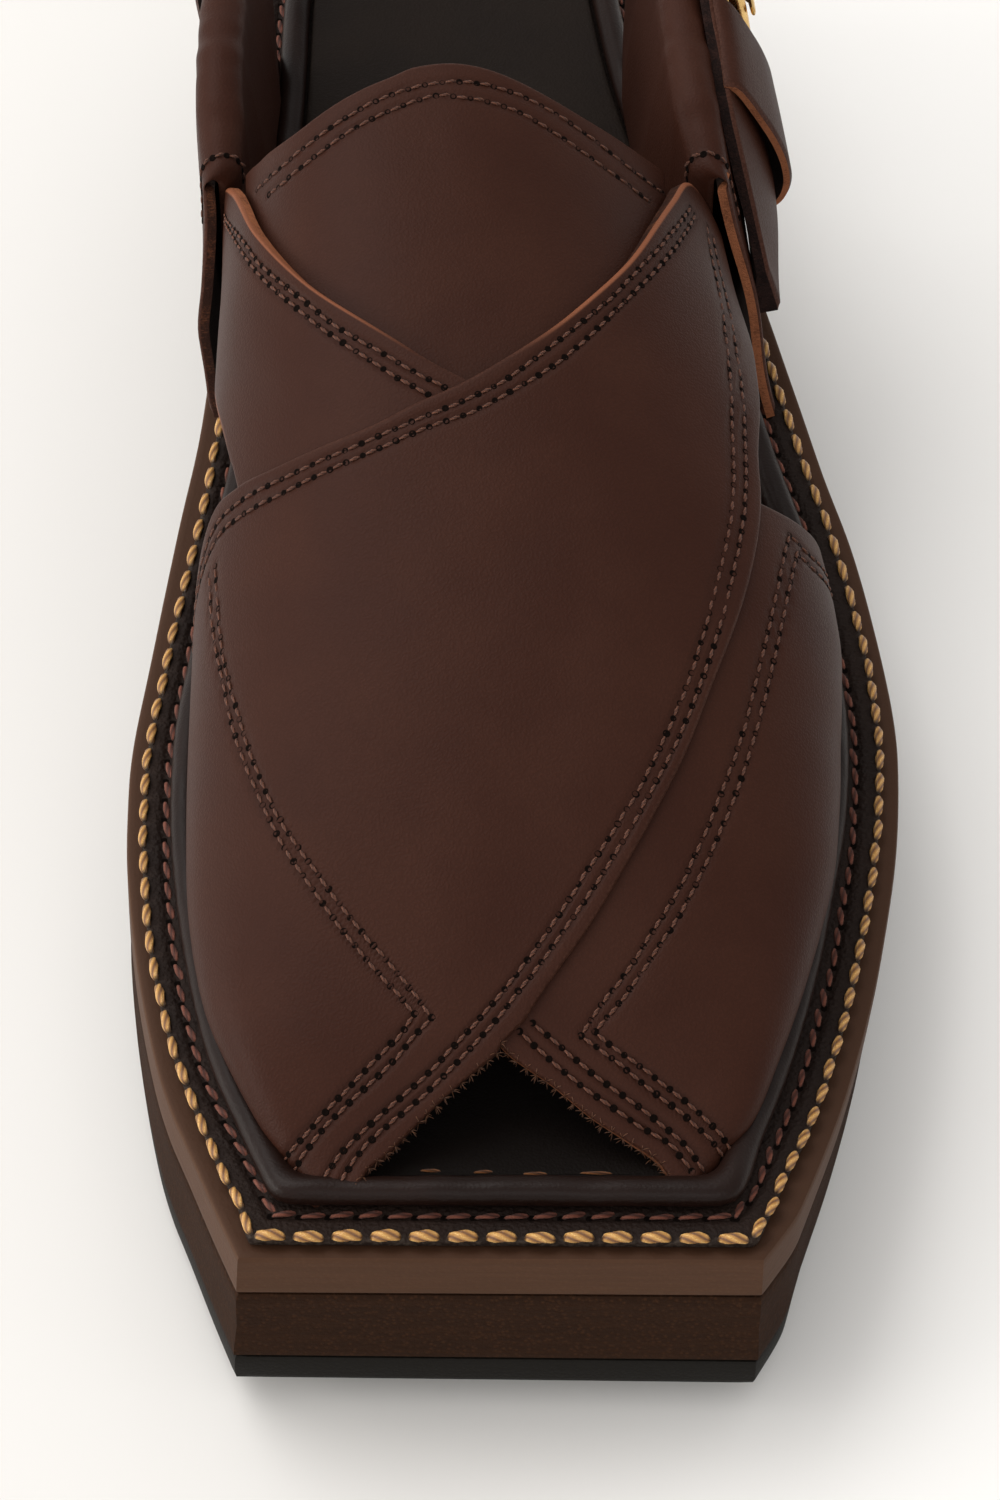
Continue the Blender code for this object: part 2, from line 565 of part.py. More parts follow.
def buckle():
    """A brass frame on the strap, and its prong from bar to bar."""
    a0 = along_of(BUCKLE_S, 1)
    turn = 2 * np.pi * np.arange(28) / 28
    c, s = np.cos(turn), np.sin(turn)
    line = np.stack([
        a0 + BUCKLE_LONG / 2 * np.sign(c) * np.abs(c) ** 0.5,
        BUCKLE_Z + BUCKLE_TALL / 2 * np.sign(s) * np.abs(s) ** 0.5,
    ], 1)
    lift = BUCKLE_OUT + STRAP_GAP + STRAP_THICK + 0.35 + BUCKLE_WIRE
    points = []
    for k in range(28):
        ahead = line[(k + 1) % 28] - line[k - 1]
        away = np.array([ahead[1], -ahead[0]]) / np.linalg.norm(ahead)
        for j in range(6):
            spot = line[k] + away * BUCKLE_WIRE * np.cos(np.pi / 3 * j)
            points.append(wall_point(spot[0], spot[1], lift + BUCKLE_WIRE * np.sin(np.pi / 3 * j)))
    faces = []
    for k in range(28):
        n = (k + 1) % 28
        faces += [(k * 6 + j, k * 6 + (j + 1) % 6, n * 6 + (j + 1) % 6, n * 6 + j) for j in range(6)]
    build("buckle_frame", np.array(points), faces, BRASS, 60)
    reach = np.linspace(-BUCKLE_LONG / 2 - 0.4, BUCKLE_LONG / 2 + 1.4, 9)
    over = lift + 2 * BUCKLE_WIRE + 0.15
    rise = over - 1.3 * np.clip(1 - (reach / (BUCKLE_LONG / 2 - 2.4)) ** 2, 0, 1)
    outer = np.array([[wall_point(a0 + r, BUCKLE_Z + w, out) for w in (-0.9, 0.9)] for r, out in zip(reach, rise)])
    inner = np.array([[wall_point(a0 + r, BUCKLE_Z + w, out - 1.1) for w in (-0.9, 0.9)]
                      for r, out in zip(reach, rise)])
    shell("buckle_prong", outer, inner, BRASS)


def heel():
    """The heel block: flat on the ground, its top under the outsole, its breast a little hollow."""
    ring = loop(1.2)
    seat = ring[ring[:, 1] > HEEL_BREAST_S + 1.5]
    ends = [np.interp(HEEL_BREAST_S, q[:, 1], q[:, 0]) for q in (ring[39:6:-1][::-1], ring[39:72][::-1])]
    first = np.array([[ends[0], HEEL_BREAST_S]])
    last = np.array([[ends[1], HEEL_BREAST_S]])
    across = np.linspace(0, 1, 8)[1:-1, None]
    breast = last + (first - last) * across + np.array([0, 4.0]) * 4 * across * (1 - across)
    plan = np.vstack([first, seat, last, breast])
    middle = plan.mean(0)
    levels = []
    for shrink, z in ((0.0, None), (0.0, 1.0), (0.7, 0.0)):
        away = plan - middle
        away /= np.linalg.norm(away, axis=1)[:, None]
        level = plan - away * shrink
        top = runner_top(plan[:, 1]) - STACK - LAYER_GAP
        levels.append(np.column_stack([level, top if z is None else np.full(len(plan), z - STACK)]))
    count = len(plan)
    faces = [tuple(range(count)), tuple(range(3 * count - 1, 2 * count - 1, -1))]
    for k in range(2):
        faces += [f[::-1] for f in bridge(k * count, (k + 1) * count, count)]
    build("heel", np.vstack(levels), faces, RUBBER)


def main():
    for old in list(bpy.data.objects):
        bpy.data.objects.remove(old)
    layer("runner", ((0.5, 0.0), (0.0, -0.5), (0.0, 0.4 - RUNNER_THICK), (0.4, -RUNNER_THICK)), RUNNER_BOARD)
    top = -RUNNER_THICK - LAYER_GAP
    layer("midsole", ((0.5, top), (0.1, top - 0.5), (0.1, top - MIDSOLE_THICK + 0.5), (0.5, top - MIDSOLE_THICK)), FOAM)
    top -= MIDSOLE_THICK + LAYER_GAP
    layer("outsole", ((0.9, top), (0.5, top - 0.5), (0.7, top - OUTSOLE_THICK + 1.1), (1.6, top - OUTSOLE_THICK)), RUBBER)
    ring_solid(
        "welt",
        ((WELT_EDGE, LAYER_GAP), (WELT_EDGE, LAYER_GAP + 1.2), (WELT_EDGE + 0.7, LAYER_GAP + WELT_THICK),
         (WELT_INNER, LAYER_GAP + WELT_THICK), (WELT_INNER, LAYER_GAP)),
        BLACK_LEATHER,
    )
    turn = np.linspace(0, 2 * np.pi, 9)[:-1]
    mid = LAYER_GAP + WELT_THICK + 0.3 + ROLL_RADIUS
    ring_solid(
        "footbed_roll",
        [(ROLL_INSET + ROLL_RADIUS * np.cos(t), mid + ROLL_RADIUS * np.sin(t)) for t in turn],
        SMOOTH_LEATHER, 5.0, 80,
    )
    layer(
        "insole",
        ((INSOLE_INSET + 0.6, FOOT_LIFT + INSOLE_THICK), (INSOLE_INSET, FOOT_LIFT + INSOLE_THICK - 0.6),
         (INSOLE_INSET, FOOT_LIFT)),
        BLACK_LEATHER, 4.0, INSOLE_FRONT_S,
    )
    main_upper()
    heel()
    quarter("quarter_medial", -1)
    quarter("quarter_lateral", 1)
    heel_strap()
    keeper()
    buckle()


main()
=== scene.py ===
# %% [markdown]
# # A peshawari chappal, dressed in Blender
# A peshawari chappal is a leather sandal from the north-west of South Asia. Two wide straps cross over
# the foot, a flap stands up behind the crossing, a strap runs round the heel to a side buckle, and all
# of it is sewn to a thick sole. The solid model of the left shoe is already made and packed. This
# lesson loads it as a frame and builds the pieces that show, with their seams, grain, cut edges and
# light. Everything is measured in millimetres in the shoe's own sizes and turned to metres at the end.

import bpy
import numpy as np
from mathutils import Matrix, Vector


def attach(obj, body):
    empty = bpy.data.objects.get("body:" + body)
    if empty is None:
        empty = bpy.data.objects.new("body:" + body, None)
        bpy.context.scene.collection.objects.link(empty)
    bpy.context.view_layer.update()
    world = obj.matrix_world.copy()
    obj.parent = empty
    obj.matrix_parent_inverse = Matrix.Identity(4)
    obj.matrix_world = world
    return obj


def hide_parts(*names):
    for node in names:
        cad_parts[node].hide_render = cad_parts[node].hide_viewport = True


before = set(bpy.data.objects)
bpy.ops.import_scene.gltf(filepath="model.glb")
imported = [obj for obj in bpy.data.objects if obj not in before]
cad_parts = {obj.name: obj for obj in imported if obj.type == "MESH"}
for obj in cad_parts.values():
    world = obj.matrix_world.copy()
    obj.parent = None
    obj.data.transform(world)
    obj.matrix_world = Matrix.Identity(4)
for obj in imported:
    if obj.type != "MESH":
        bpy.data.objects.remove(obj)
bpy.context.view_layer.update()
print("packed nodes:", ", ".join(sorted(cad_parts)))

# %% [markdown]
# ## The shoe's own sizes
# X points to the outer side of the foot, S runs back from the front edge of the sole and Z is height
# over the sole board at the ball. A shoemaker draws the outline of the sole first, so its edge is a
# short table of points on each side. The top line says how the sole lifts at the toe and at the heel.

# %% Sizes and tables of the sole
RUNNER_THICK = 7.8
MIDSOLE_THICK = 13.8
OUTSOLE_THICK = 5.5
LAYER_GAP = 0.3
STACK = RUNNER_THICK + MIDSOLE_THICK + OUTSOLE_THICK + 2 * LAYER_GAP
CENTRE_X = 2.05
CENTRE_S = 148.5
FOOT_LIFT = 2.3
SOLE_TOP = (
    (-5, 5.9), (0, 5.0), (15, 2.7), (30, 1.0), (55, 0), (105, 0), (130, 2.0),
    (160, 6.0), (190, 8.8), (212, 10.0), (225, 10.4), (300, 10.4),
)
EDGE_MEDIAL = (
    (1.0, -35.0), (10, -38.4), (20, -42.0), (30, -45.6), (40, -48.2), (55, -51.0), (71, -53.0),
    (83, -53.6), (96, -53.4), (114, -51.4), (137, -48.4), (153, -45.9), (165, -44.7),
    (185, -43.2), (205, -42.4), (225, -41.7), (245, -41.4), (262, -40.4), (275, -36.6),
    (286, -29.0), (294.0, -18.0),
)
HEEL_POINT = (297, -8.0)
EDGE_LATERAL = (
    (0.1, 34.3), (7.5, 38.7), (12.8, 40.9), (22, 44.2), (31, 47.1), (43, 50.4), (55, 53.1),
    (73.5, 56.3), (90, 57.7), (102, 57.6), (116, 56.1), (133, 53.2), (148, 49.3), (165, 45.4), (185, 40.8),
    (205, 35.2), (225, 30.3), (245, 27.4), (262, 25.6), (275, 21.6), (286, 13.8), (294.0, 2.6),
)
CORNERS = (((-35.0, 1.0), (0.66, 1.0)), ((34.3, 0.1), (-0.62, 1.0)))
print("the stack is", round(STACK, 1), "mm thick below the top of the board")

# %% [markdown]
# ## Curves through tables
# A table holds a few measured points and a curve fills in the rest: a monotone cubic for a height, which
# must never swing past its neighbours, and a Catmull-Rom curve for a line that turns softly.

# %% Curves through tables
def smooth_table(table, column=1):
    """A monotone cubic through one column of a table, held flat outside its ends."""
    xs = np.array([row[0] for row in table], float)
    ys = np.array([row[column] for row in table], float)
    h = np.diff(xs)
    d = np.diff(ys) / h
    m = np.zeros(len(xs))
    for i in range(1, len(xs) - 1):
        if d[i - 1] * d[i] > 0:
            a = 2 * h[i] + h[i - 1]
            b = h[i] + 2 * h[i - 1]
            m[i] = (a + b) / (a / d[i - 1] + b / d[i])
    m[0] = d[0]
    m[-1] = d[-1]

    def at(x):
        x = np.clip(x, xs[0], xs[-1])
        i = np.clip(np.searchsorted(xs, x) - 1, 0, len(h) - 1)
        t = (x - xs[i]) / h[i]
        rise = (2 * t**3 - 3 * t**2 + 1) * ys[i] + (3 * t**2 - 2 * t**3) * ys[i + 1]
        return rise + h[i] * ((t**3 - 2 * t**2 + t) * m[i] + (t**3 - t**2) * m[i + 1])

    return at


def step_lengths(line, weigh=1.0):
    """The length of each step of a line; weigh says how much each column counts in it."""
    return np.linalg.norm(np.diff(line, axis=0) * weigh, axis=1)


def resample(line, count, weigh=1.0):
    """Count points evenly along a line."""
    along = np.r_[0, np.cumsum(step_lengths(line, weigh))]
    wanted = np.linspace(0, along[-1], count)
    return np.stack([np.interp(wanted, along, line[:, k]) for k in range(line.shape[1])], 1)


def spline(points, count, weigh=1.0):
    """A Catmull-Rom curve through points, resampled evenly by length."""
    p = np.array(points, float)
    ends = np.vstack([2 * p[0] - p[1], p, 2 * p[-1] - p[-2]])
    t = np.linspace(0, 1, 16, endpoint=False)[:, None]
    out = []
    for a, b, c, d in zip(ends, ends[1:], ends[2:], ends[3:]):
        out.append(0.5 * (2 * b + (c - a) * t + (2 * a - 5 * b + 4 * c - d) * t**2
                          + (3 * b - a - 3 * c + d) * t**3))
    return resample(np.vstack(out + [p[-1:]]), count, weigh)


def to_world(points):
    """Points in the shoe's own millimetres as metres over the ground."""
    p = np.asarray(points, float)
    return np.stack([p[..., 0] - CENTRE_X, p[..., 1] - CENTRE_S, p[..., 2] + STACK], -1) / 1000


sole_top = smooth_table(SOLE_TOP)
print("top of the sole at the toe and heel:", float(sole_top(0)), float(sole_top(260)))

# %% [markdown]
# ## The outline
# The edge of the sole is one closed line: straight across the toe, then one smooth curve from the outer
# corner round the heel to the inner one. Every other line of the sole is taken from it.

# %% Draw the outline
def edge_outline():
    medial = [(x, s) for s, x in EDGE_MEDIAL]
    lateral = [(x, s) for s, x in EDGE_LATERAL]
    around = lateral + [(HEEL_POINT[1], HEEL_POINT[0])] + medial[::-1]
    side = spline(around, 1800)
    front = resample(np.array([medial[0], lateral[0]], float), 220)
    return np.vstack([front[:-1], side[:-1]])


OUTLINE = edge_outline()
print("outline is", round(float(step_lengths(OUTLINE).sum())), "mm round")

# %% [markdown]
# ## Rings inside the outline
# The welt, the stitches and the cord follow the edge at a fixed distance inside it. Moved points that end
# up too near the edge are dropped, so nothing crosses. Every ring shares two corners at the toe, which
# lets the stitches of its front and its side be counted out.

# %% Move the outline in
FINE_POINTS = 3000


def inward_of(ring):
    """The unit direction towards the inside at each point of a ring."""
    ahead = np.roll(ring, -1, 0) - np.roll(ring, 1, 0)
    return np.stack([-ahead[:, 1], ahead[:, 0]], 1) / np.linalg.norm(ahead, axis=1)[:, None]


def moved_in(ring, amount):
    """A ring moved towards its inside, all of it alike or each point by its own amount."""
    return ring + inward_of(ring) * np.reshape(amount, (-1, 1))


def inset_line(inset, soften=0.0, front=40, side=520):
    """The outline moved in by inset: X, S points from the middle of the front, once round."""
    moved = moved_in(OUTLINE, inset)
    if inset > 0:
        far = np.sqrt(((moved[:, None] - OUTLINE[None]) ** 2).sum(2).min(1))
        moved = moved[far > inset - 0.02]
    fine = resample(np.vstack([moved, moved[:1]]), FINE_POINTS + 1)[:-1]
    if soften > 0:
        half = int(soften / np.linalg.norm(fine[1] - fine[0]))
        bell = np.hanning(2 * half + 3)
        bell /= bell.sum()
        wide = np.vstack([fine[-half - 1 :], fine, fine[: half + 1]])
        fine = np.stack([np.convolve(wide[:, k], bell, "valid") for k in range(2)], 1)
    turns = [int(np.argmin(np.hypot(*(fine - (np.array(c) + np.array(lean) * inset)).T)))
             for c, lean in CORNERS]
    fine = np.roll(fine, -turns[0], 0)
    turn = (turns[1] - turns[0]) % len(fine)
    closed = np.vstack([fine, fine[:1]])
    ring = np.vstack([resample(closed[: turn + 1], front + 1)[:-1], resample(closed[turn:], side + 1)[:-1]])
    return np.roll(ring, -(front // 2), 0)


def table_inset(ring, medial, lateral):
    """A value along a ring from a table of S on each side, blended across the front."""
    to_lateral = np.clip((ring[:, 0] + 30) / 60, 0, 1)
    return (1 - to_lateral) * medial(ring[:, 1]) + to_lateral * lateral(ring[:, 1])


def lift(ring, height):
    """A ring of X, S points as X, S, Z, at a height over the top of the sole."""
    return np.column_stack([ring, sole_top(ring[:, 1]) + height])


print("a ring 9 mm in is", round(float(step_lengths(inset_line(9.0)).sum())), "mm round")

# %% [markdown]
# ## Turning points into named pieces
# Every piece is one mesh with its place in its own vertices, so its object stays at the origin. Its faces
# may carry different finishes, and two numbers at each vertex tell the finishes how far off a cut edge is
# and how near a seam.

# %% Make a piece
def in_scene(thing):
    bpy.context.scene.collection.objects.link(thing)
    return thing


def face_out(points, faces):
    """Whether the faces, lists of corner numbers, enclose a positive volume and so point outwards."""
    p = np.asarray(points, float)
    volume = 0.0
    for f in (faces if isinstance(faces, list) else [faces]):
        f = np.asarray(f)
        for i in range(1, f.shape[1] - 1):
            volume += np.einsum("ij,ij->", p[f[:, 0]], np.cross(p[f[:, i]], p[f[:, i + 1]]))
    return volume > 0


def make_piece(name, points, quads, triangles=(), finish=(), finish_of=None, marks=None, angle=40):
    """One mesh object from shoe-size points, with quads and triangles, finishes and vertex marks."""
    quads = np.asarray(quads, np.int64).reshape(-1, 4)
    triangles = np.asarray(triangles, np.int64).reshape(-1, 3)
    if not face_out(points, [quads, triangles]):
        quads = quads[:, ::-1]
        triangles = triangles[:, ::-1]
    mesh = bpy.data.meshes.new(name)
    faces = [tuple(f) for f in quads.tolist()] + [tuple(f) for f in triangles.tolist()]
    mesh.from_pydata(to_world(points).tolist(), [], faces)
    for finish_name in finish:
        mesh.materials.append(finish_name)
    if finish_of is not None:
        mesh.polygons.foreach_set("material_index", np.asarray(finish_of, np.int32))
    for mark, values in (marks or {}).items():
        layer = mesh.attributes.new(mark, "FLOAT", "POINT")
        layer.data.foreach_set("value", np.asarray(values, np.float32))
    mesh.shade_smooth()
    mesh.set_sharp_from_angle(angle=np.radians(angle))
    return in_scene(bpy.data.objects.new(name, mesh))


def stands_for(piece, slot, *nodes):
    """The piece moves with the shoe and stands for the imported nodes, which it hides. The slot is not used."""
    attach(piece, "root")
    if nodes:
        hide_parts(*nodes)
    count = sum(len(p.vertices) - 2 for p in piece.data.polygons)
    print(f"{piece.name}: {count} triangles")
    return piece


print("the ground under the middle of the shoe:", to_world((CENTRE_X, CENTRE_S, -STACK)).round(6).tolist())

# %% [markdown]
# ## Layers made of rings
# A layer of the sole is a pile of rings joined by quads, and rungs from side to side close its top and
# bottom. The real stack is trimmed by hand and leans a little, so two tables shift the lower layers more.

# %% Make a layer
def ring_faces(count, first, second):
    """Quads between two closed rings of count points."""
    i = np.arange(count)
    j = (i + 1) % count
    return np.stack([first + i, first + j, second + j, second + i], 1)


def cap_faces(count, start, turned):
    """Rungs that close a ring, from its inner half to its outer half, with a triangle at each end."""
    i = np.arange(1, count // 2 - 1)
    rungs = np.stack([start + i, start + i + 1, start + count - i - 1, start + count - i], 1)
    half = start + count // 2
    ends = np.array([[start, start + 1, start + count - 1], [half - 1, half, half + 1]])
    return (rungs[:, ::-1], ends[:, ::-1]) if turned else (rungs, ends)


# How far the foot of the stack is shifted in X at S, on the inner and the outer side
LEAN_MEDIAL = smooth_table(((0, -2.0), (30, -1.5), (60, -1.2), (100, -0.6), (140, 0.0)))
LEAN_LATERAL = smooth_table(((0, 0.0), (8, -0.6), (20, -1.8), (50, -2.0), (90, -1.4), (140, 0.0)))


def leaning(ring, height):
    """A ring of the stack: its trimmed edge leans a little, more so the lower the layer lies."""
    share = np.clip(-height / STACK, 0, 1)
    across = table_inset(ring, LEAN_MEDIAL, LEAN_LATERAL)
    ahead = (1.4 + ring[:, 0] / 90) * np.clip(1 - ring[:, 1] / 25, 0, 1)
    return ring + share * np.column_stack([across, -ahead])


def layer_piece(name, rows, finish, soften=0.0, shape=None):
    """A layer of the sole: rows of inset and height over the top line, from the top down."""
    rings = [inset_line(inset, soften) for inset, _ in rows]
    if shape is not None:
        rings = [shape(ring, inset) for ring, (inset, _) in zip(rings, rows)]
    points = np.vstack([lift(leaning(ring, height), height) for ring, (_, height) in zip(rings, rows)])
    count = len(rings[0])
    top, top_ends = cap_faces(count, 0, False)
    under, under_ends = cap_faces(count, (len(rows) - 1) * count, True)
    sides = [ring_faces(count, k * count, (k + 1) * count)[:, ::-1] for k in range(len(rows) - 1)]
    return make_piece(name, points, np.vstack([top, under] + sides), np.vstack([top_ends, under_ends]), finish)


print("at the toe the inner edge of the outsole is shifted by", float(LEAN_MEDIAL(0.0)), "mm")

# %% [markdown]
# ## Sheets made of two grids
# Leather has a grain side, a lining and a cut edge between them: two grids of points whose rims are
# joined by a band of quads. Near the rim the grain side drops in a round, as a knife and a burnisher
# leave it.

# %% Make a sheet
def sheet_piece(name, outer, inner, finish, marks=None, angle=50):
    """A sheet of leather between two grids of points: grain side, lining and cut edge."""
    n, m = outer.shape[:2]
    i, j = np.meshgrid(np.arange(n - 1), np.arange(m - 1), indexing="ij")
    a = (i * m + j).ravel()
    face = np.stack([a, a + 1, a + m + 1, a + m], 1)
    back = np.stack([a, a + m, a + m + 1, a + 1], 1) + n * m
    rim = np.array([k * m for k in range(n)] + [(n - 1) * m + k for k in range(1, m)]
                   + [k * m + m - 1 for k in range(n - 2, -1, -1)] + list(range(m - 2, 0, -1)))
    after = np.roll(rim, -1)
    side = np.stack([rim, after, after + n * m, rim + n * m], 1)
    finish_of = np.r_[np.zeros(len(face)), np.ones(len(back)), np.full(len(side), 2)]
    points = np.vstack([outer.reshape(-1, 3), inner.reshape(-1, 3)])
    doubled = {mark: np.r_[np.ravel(v), np.ravel(v)] for mark, v in (marks or {}).items()}
    return make_piece(name, points, np.vstack([face, back, side]), (), finish, finish_of, doubled, angle)


def edge_distance(grid):
    """How far each point of a grid of points is from the nearest side of the grid."""
    rows = np.r_[np.zeros((1, grid.shape[1])), np.cumsum(np.linalg.norm(np.diff(grid, axis=0), axis=2), 0)]
    cols = np.c_[np.zeros(grid.shape[0]), np.cumsum(np.linalg.norm(np.diff(grid, axis=1), axis=2), 1)]
    return np.minimum(np.minimum(rows, rows[-1] - rows), np.minimum(cols, cols[:, -1:] - cols))


def grid_normals(grid, towards):
    """Unit normals of a grid of points, all on the side of towards."""
    normal = np.cross(np.gradient(grid, axis=0), np.gradient(grid, axis=1))
    normal /= np.maximum(np.linalg.norm(normal, axis=2), 1e-9)[..., None]
    return normal if (normal * towards).sum() > 0 else -normal


def rounded(distance, radius):
    """How far a surface drops near its cut edge, as the side of a round of that radius."""
    reach = np.clip(1 - distance / radius, 0, 1)
    return radius * (1 - np.sqrt(1 - 0.96 * reach**2))


def unsewn(edge):
    """The vertex marks of a piece that no seam pulls down."""
    return {"edge": edge, "seam": np.zeros(np.shape(edge))}


print("an edge rounded by 0.8 mm drops", round(float(rounded(0.0, 0.8)), 2), "mm at its rim")

# %% [markdown]
# ## Helpers for nodes
# A finish is a tree of small nodes. These helpers make one node with its settings and links, and the few
# steps that the finishes use most.

# %% Helpers for nodes
def new_group(name, inputs, outputs):
    group = bpy.data.node_groups.new(name, "ShaderNodeTree")
    for socket, kind, value in inputs:
        made = group.interface.new_socket(socket, in_out="INPUT", socket_type=kind)
        if value is not None:
            made.default_value = value
    for socket, kind in outputs:
        group.interface.new_socket(socket, in_out="OUTPUT", socket_type=kind)
    return group, group.nodes.new("NodeGroupInput"), group.nodes.new("NodeGroupOutput")


def node(tree, kind, values=None, **settings):
    """One node, with its settings, and its input values by name or number."""
    made = tree.nodes.new(kind)
    for key, value in settings.items():
        setattr(made, key, value)
    for key, value in (values or {}).items():
        if isinstance(value, bpy.types.NodeSocket):
            tree.links.new(value, made.inputs[key])
        else:
            made.inputs[key].default_value = value
    return made


def maths(tree, operation, a, b=0.0):
    return node(tree, "ShaderNodeMath", {0: a, 1: b}, operation=operation).outputs[0]


def noise(tree, scale, detail=2.0, rough=0.5, where=None):
    values = {"Scale": scale, "Detail": detail, "Roughness": rough}
    if where is not None:
        values["Vector"] = where
    return node(tree, "ShaderNodeTexNoise", values).outputs["Fac"]


def spread(tree, value, low, high, to_low=0.0, to_high=1.0):
    return node(tree, "ShaderNodeMapRange",
                {"Value": value, "From Min": low, "From Max": high, "To Min": to_low, "To Max": to_high},
                interpolation_type="SMOOTHSTEP").outputs[0]


def mixed(tree, share, first, second):
    made = node(tree, "ShaderNodeMix", data_type="RGBA")
    for key, value in ((0, share), (6, first), (7, second)):
        if isinstance(value, bpy.types.NodeSocket):
            tree.links.new(value, made.inputs[key])
        else:
            made.inputs[key].default_value = value if key == 0 else (*value[:3], 1.0)
    return made.outputs[2]


def place_of(tree):
    return node(tree, "ShaderNodeTexCoord").outputs["Object"]


def axis_of(tree, axis):
    return node(tree, "ShaderNodeSeparateXYZ", {0: place_of(tree)}).outputs[axis]


def mark_of(tree, mark):
    return node(tree, "ShaderNodeAttribute", attribute_name=mark).outputs["Fac"]


print("finishes that came with the frame:", len(bpy.data.materials))

# %% [markdown]
# ## Effects shared by the finishes
# Each effect is a node group with named sockets, so that one kind of grain can serve several leathers at
# different strengths. The groups read object coordinates, which are metres here, so a scale of 2500 makes
# spots of 0.4 mm. Leather gets fine pores and soft creases, and a slow cloud for its colour.

# %% The grain of leather
def leather_grain_group():
    group, given, out = new_group(
        "leather grain",
        [("Pore Scale", "NodeSocketFloat", 2600.0), ("Pores", "NodeSocketFloat", 1.0),
         ("Creases", "NodeSocketFloat", 0.4)],
        [("Height", "NodeSocketFloat"), ("Cloud", "NodeSocketFloat"), ("Pore Mask", "NodeSocketFloat")])
    where = place_of(group)
    cells = node(group, "ShaderNodeTexVoronoi", {"Vector": where, "Scale": given.outputs["Pore Scale"]},
                 feature="SMOOTH_F1").outputs["Distance"]
    fine = noise(group, 5200.0, 3.0, 0.6, where)
    soft = noise(group, 520.0, 4.0, 0.62, where)
    slow = noise(group, 60.0, 3.0, 0.5, where)
    pores = maths(group, "MULTIPLY", spread(group, cells, 0.1, 0.75), given.outputs["Pores"])
    fine_part = maths(group, "MULTIPLY", fine, 0.55)
    crease = maths(group, "MULTIPLY", maths(group, "ABSOLUTE", maths(group, "SUBTRACT", soft, 0.5)),
                   given.outputs["Creases"])
    total = maths(group, "ADD", maths(group, "SUBTRACT", fine_part, pores), maths(group, "MULTIPLY", crease, 6.0))
    group.links.new(total, out.inputs["Height"])
    group.links.new(slow, out.inputs["Cloud"])
    group.links.new(spread(group, cells, 0.0, 0.6), out.inputs["Pore Mask"])
    return group


LEATHER_GRAIN = leather_grain_group()
print("leather grain has", len(LEATHER_GRAIN.nodes), "nodes")

# %% [markdown]
# ### The fibres of a cut edge
# A knife leaves the fibres open. They run mostly level, so the noise is squeezed in height, and slow
# patches keep the edge from looking striped.

# %% The fibres of a cut edge
def fibre_group():
    group, given, out = new_group(
        "cut edge fibres", [("Scale", "NodeSocketFloat", 1500.0)],
        [("Share", "NodeSocketFloat"), ("Height", "NodeSocketFloat")])
    where = place_of(group)
    long_way = node(group, "ShaderNodeMapping", {"Vector": where, "Scale": (1.0, 1.0, 2.6)}).outputs[0]
    strands = node(group, "ShaderNodeTexNoise",
                   {"Vector": long_way, "Scale": given.outputs["Scale"], "Detail": 4.0, "Roughness": 0.7,
                    "Distortion": 0.8}).outputs["Fac"]
    patches = noise(group, 220.0, 3.0, 0.6, where)
    group.links.new(maths(group, "ADD", maths(group, "MULTIPLY", strands, 0.6),
                          maths(group, "MULTIPLY", patches, 0.4)), out.inputs["Share"])
    group.links.new(strands, out.inputs["Height"])
    return group


FIBRES = fibre_group()
print("fibres have", len(FIBRES.nodes), "nodes")

# %% [markdown]
# ### Specks and streaks
# Foam shows open cells, board specks and rubber grit. One group serves all three, with level streaks from
# the trimming wheel.

# %% Specks and streaks
def speckle_group():
    group, given, out = new_group(
        "speckle", [("Scale", "NodeSocketFloat", 1400.0), ("Streaks", "NodeSocketFloat", 0.0)],
        [("Specks", "NodeSocketFloat"), ("Height", "NodeSocketFloat"), ("Streak", "NodeSocketFloat")])
    where = place_of(group)
    cells = node(group, "ShaderNodeTexVoronoi", {"Vector": where, "Scale": given.outputs["Scale"]},
                 feature="F1").outputs["Distance"]
    grit = noise(group, 2400.0, 4.0, 0.7, where)
    flat = node(group, "ShaderNodeMapping", {"Vector": where, "Scale": (0.08, 0.08, 1.6)}).outputs[0]
    streak = noise(group, 900.0, 4.0, 0.65, flat)
    group.links.new(spread(group, cells, 0.05, 0.5), out.inputs["Specks"])
    group.links.new(maths(group, "ADD", maths(group, "MULTIPLY", cells, 0.6),
                          maths(group, "ADD", grit, maths(group, "MULTIPLY", streak, given.outputs["Streaks"]))),
                    out.inputs["Height"])
    group.links.new(streak, out.inputs["Streak"])
    return group


SPECKLE = speckle_group()
print("speckle has", len(SPECKLE.nodes), "nodes")

# %% [markdown]
# ## The finishes
# Every finish starts as one Principled shader. A plain number goes straight on the shader's own socket,
# and only what changes over the surface comes from nodes. Fine relief is a bump with its distance in
# metres.

# %% Start a finish
def new_finish(name, roughness=0.5, specular=0.5, metallic=0.0):
    finish = bpy.data.materials.new(name)
    finish.use_nodes = True
    shader = finish.node_tree.nodes["Principled BSDF"]
    shader.inputs["Roughness"].default_value = roughness
    shader.inputs["Specular IOR Level"].default_value = specular
    shader.inputs["Metallic"].default_value = metallic
    return finish, finish.node_tree, shader


def group_node(tree, group, values):
    made = node(tree, "ShaderNodeGroup", node_tree=group)
    for key, value in values.items():
        made.inputs[key].default_value = value
    return made


def bump(tree, shader, height, depth, strength=1.0, after=None):
    values = {"Height": height, "Distance": depth, "Strength": strength}
    if after is not None:
        values["Normal"] = after
    made = node(tree, "ShaderNodeBump", values).outputs["Normal"]
    tree.links.new(made, shader.inputs["Normal"])
    return made


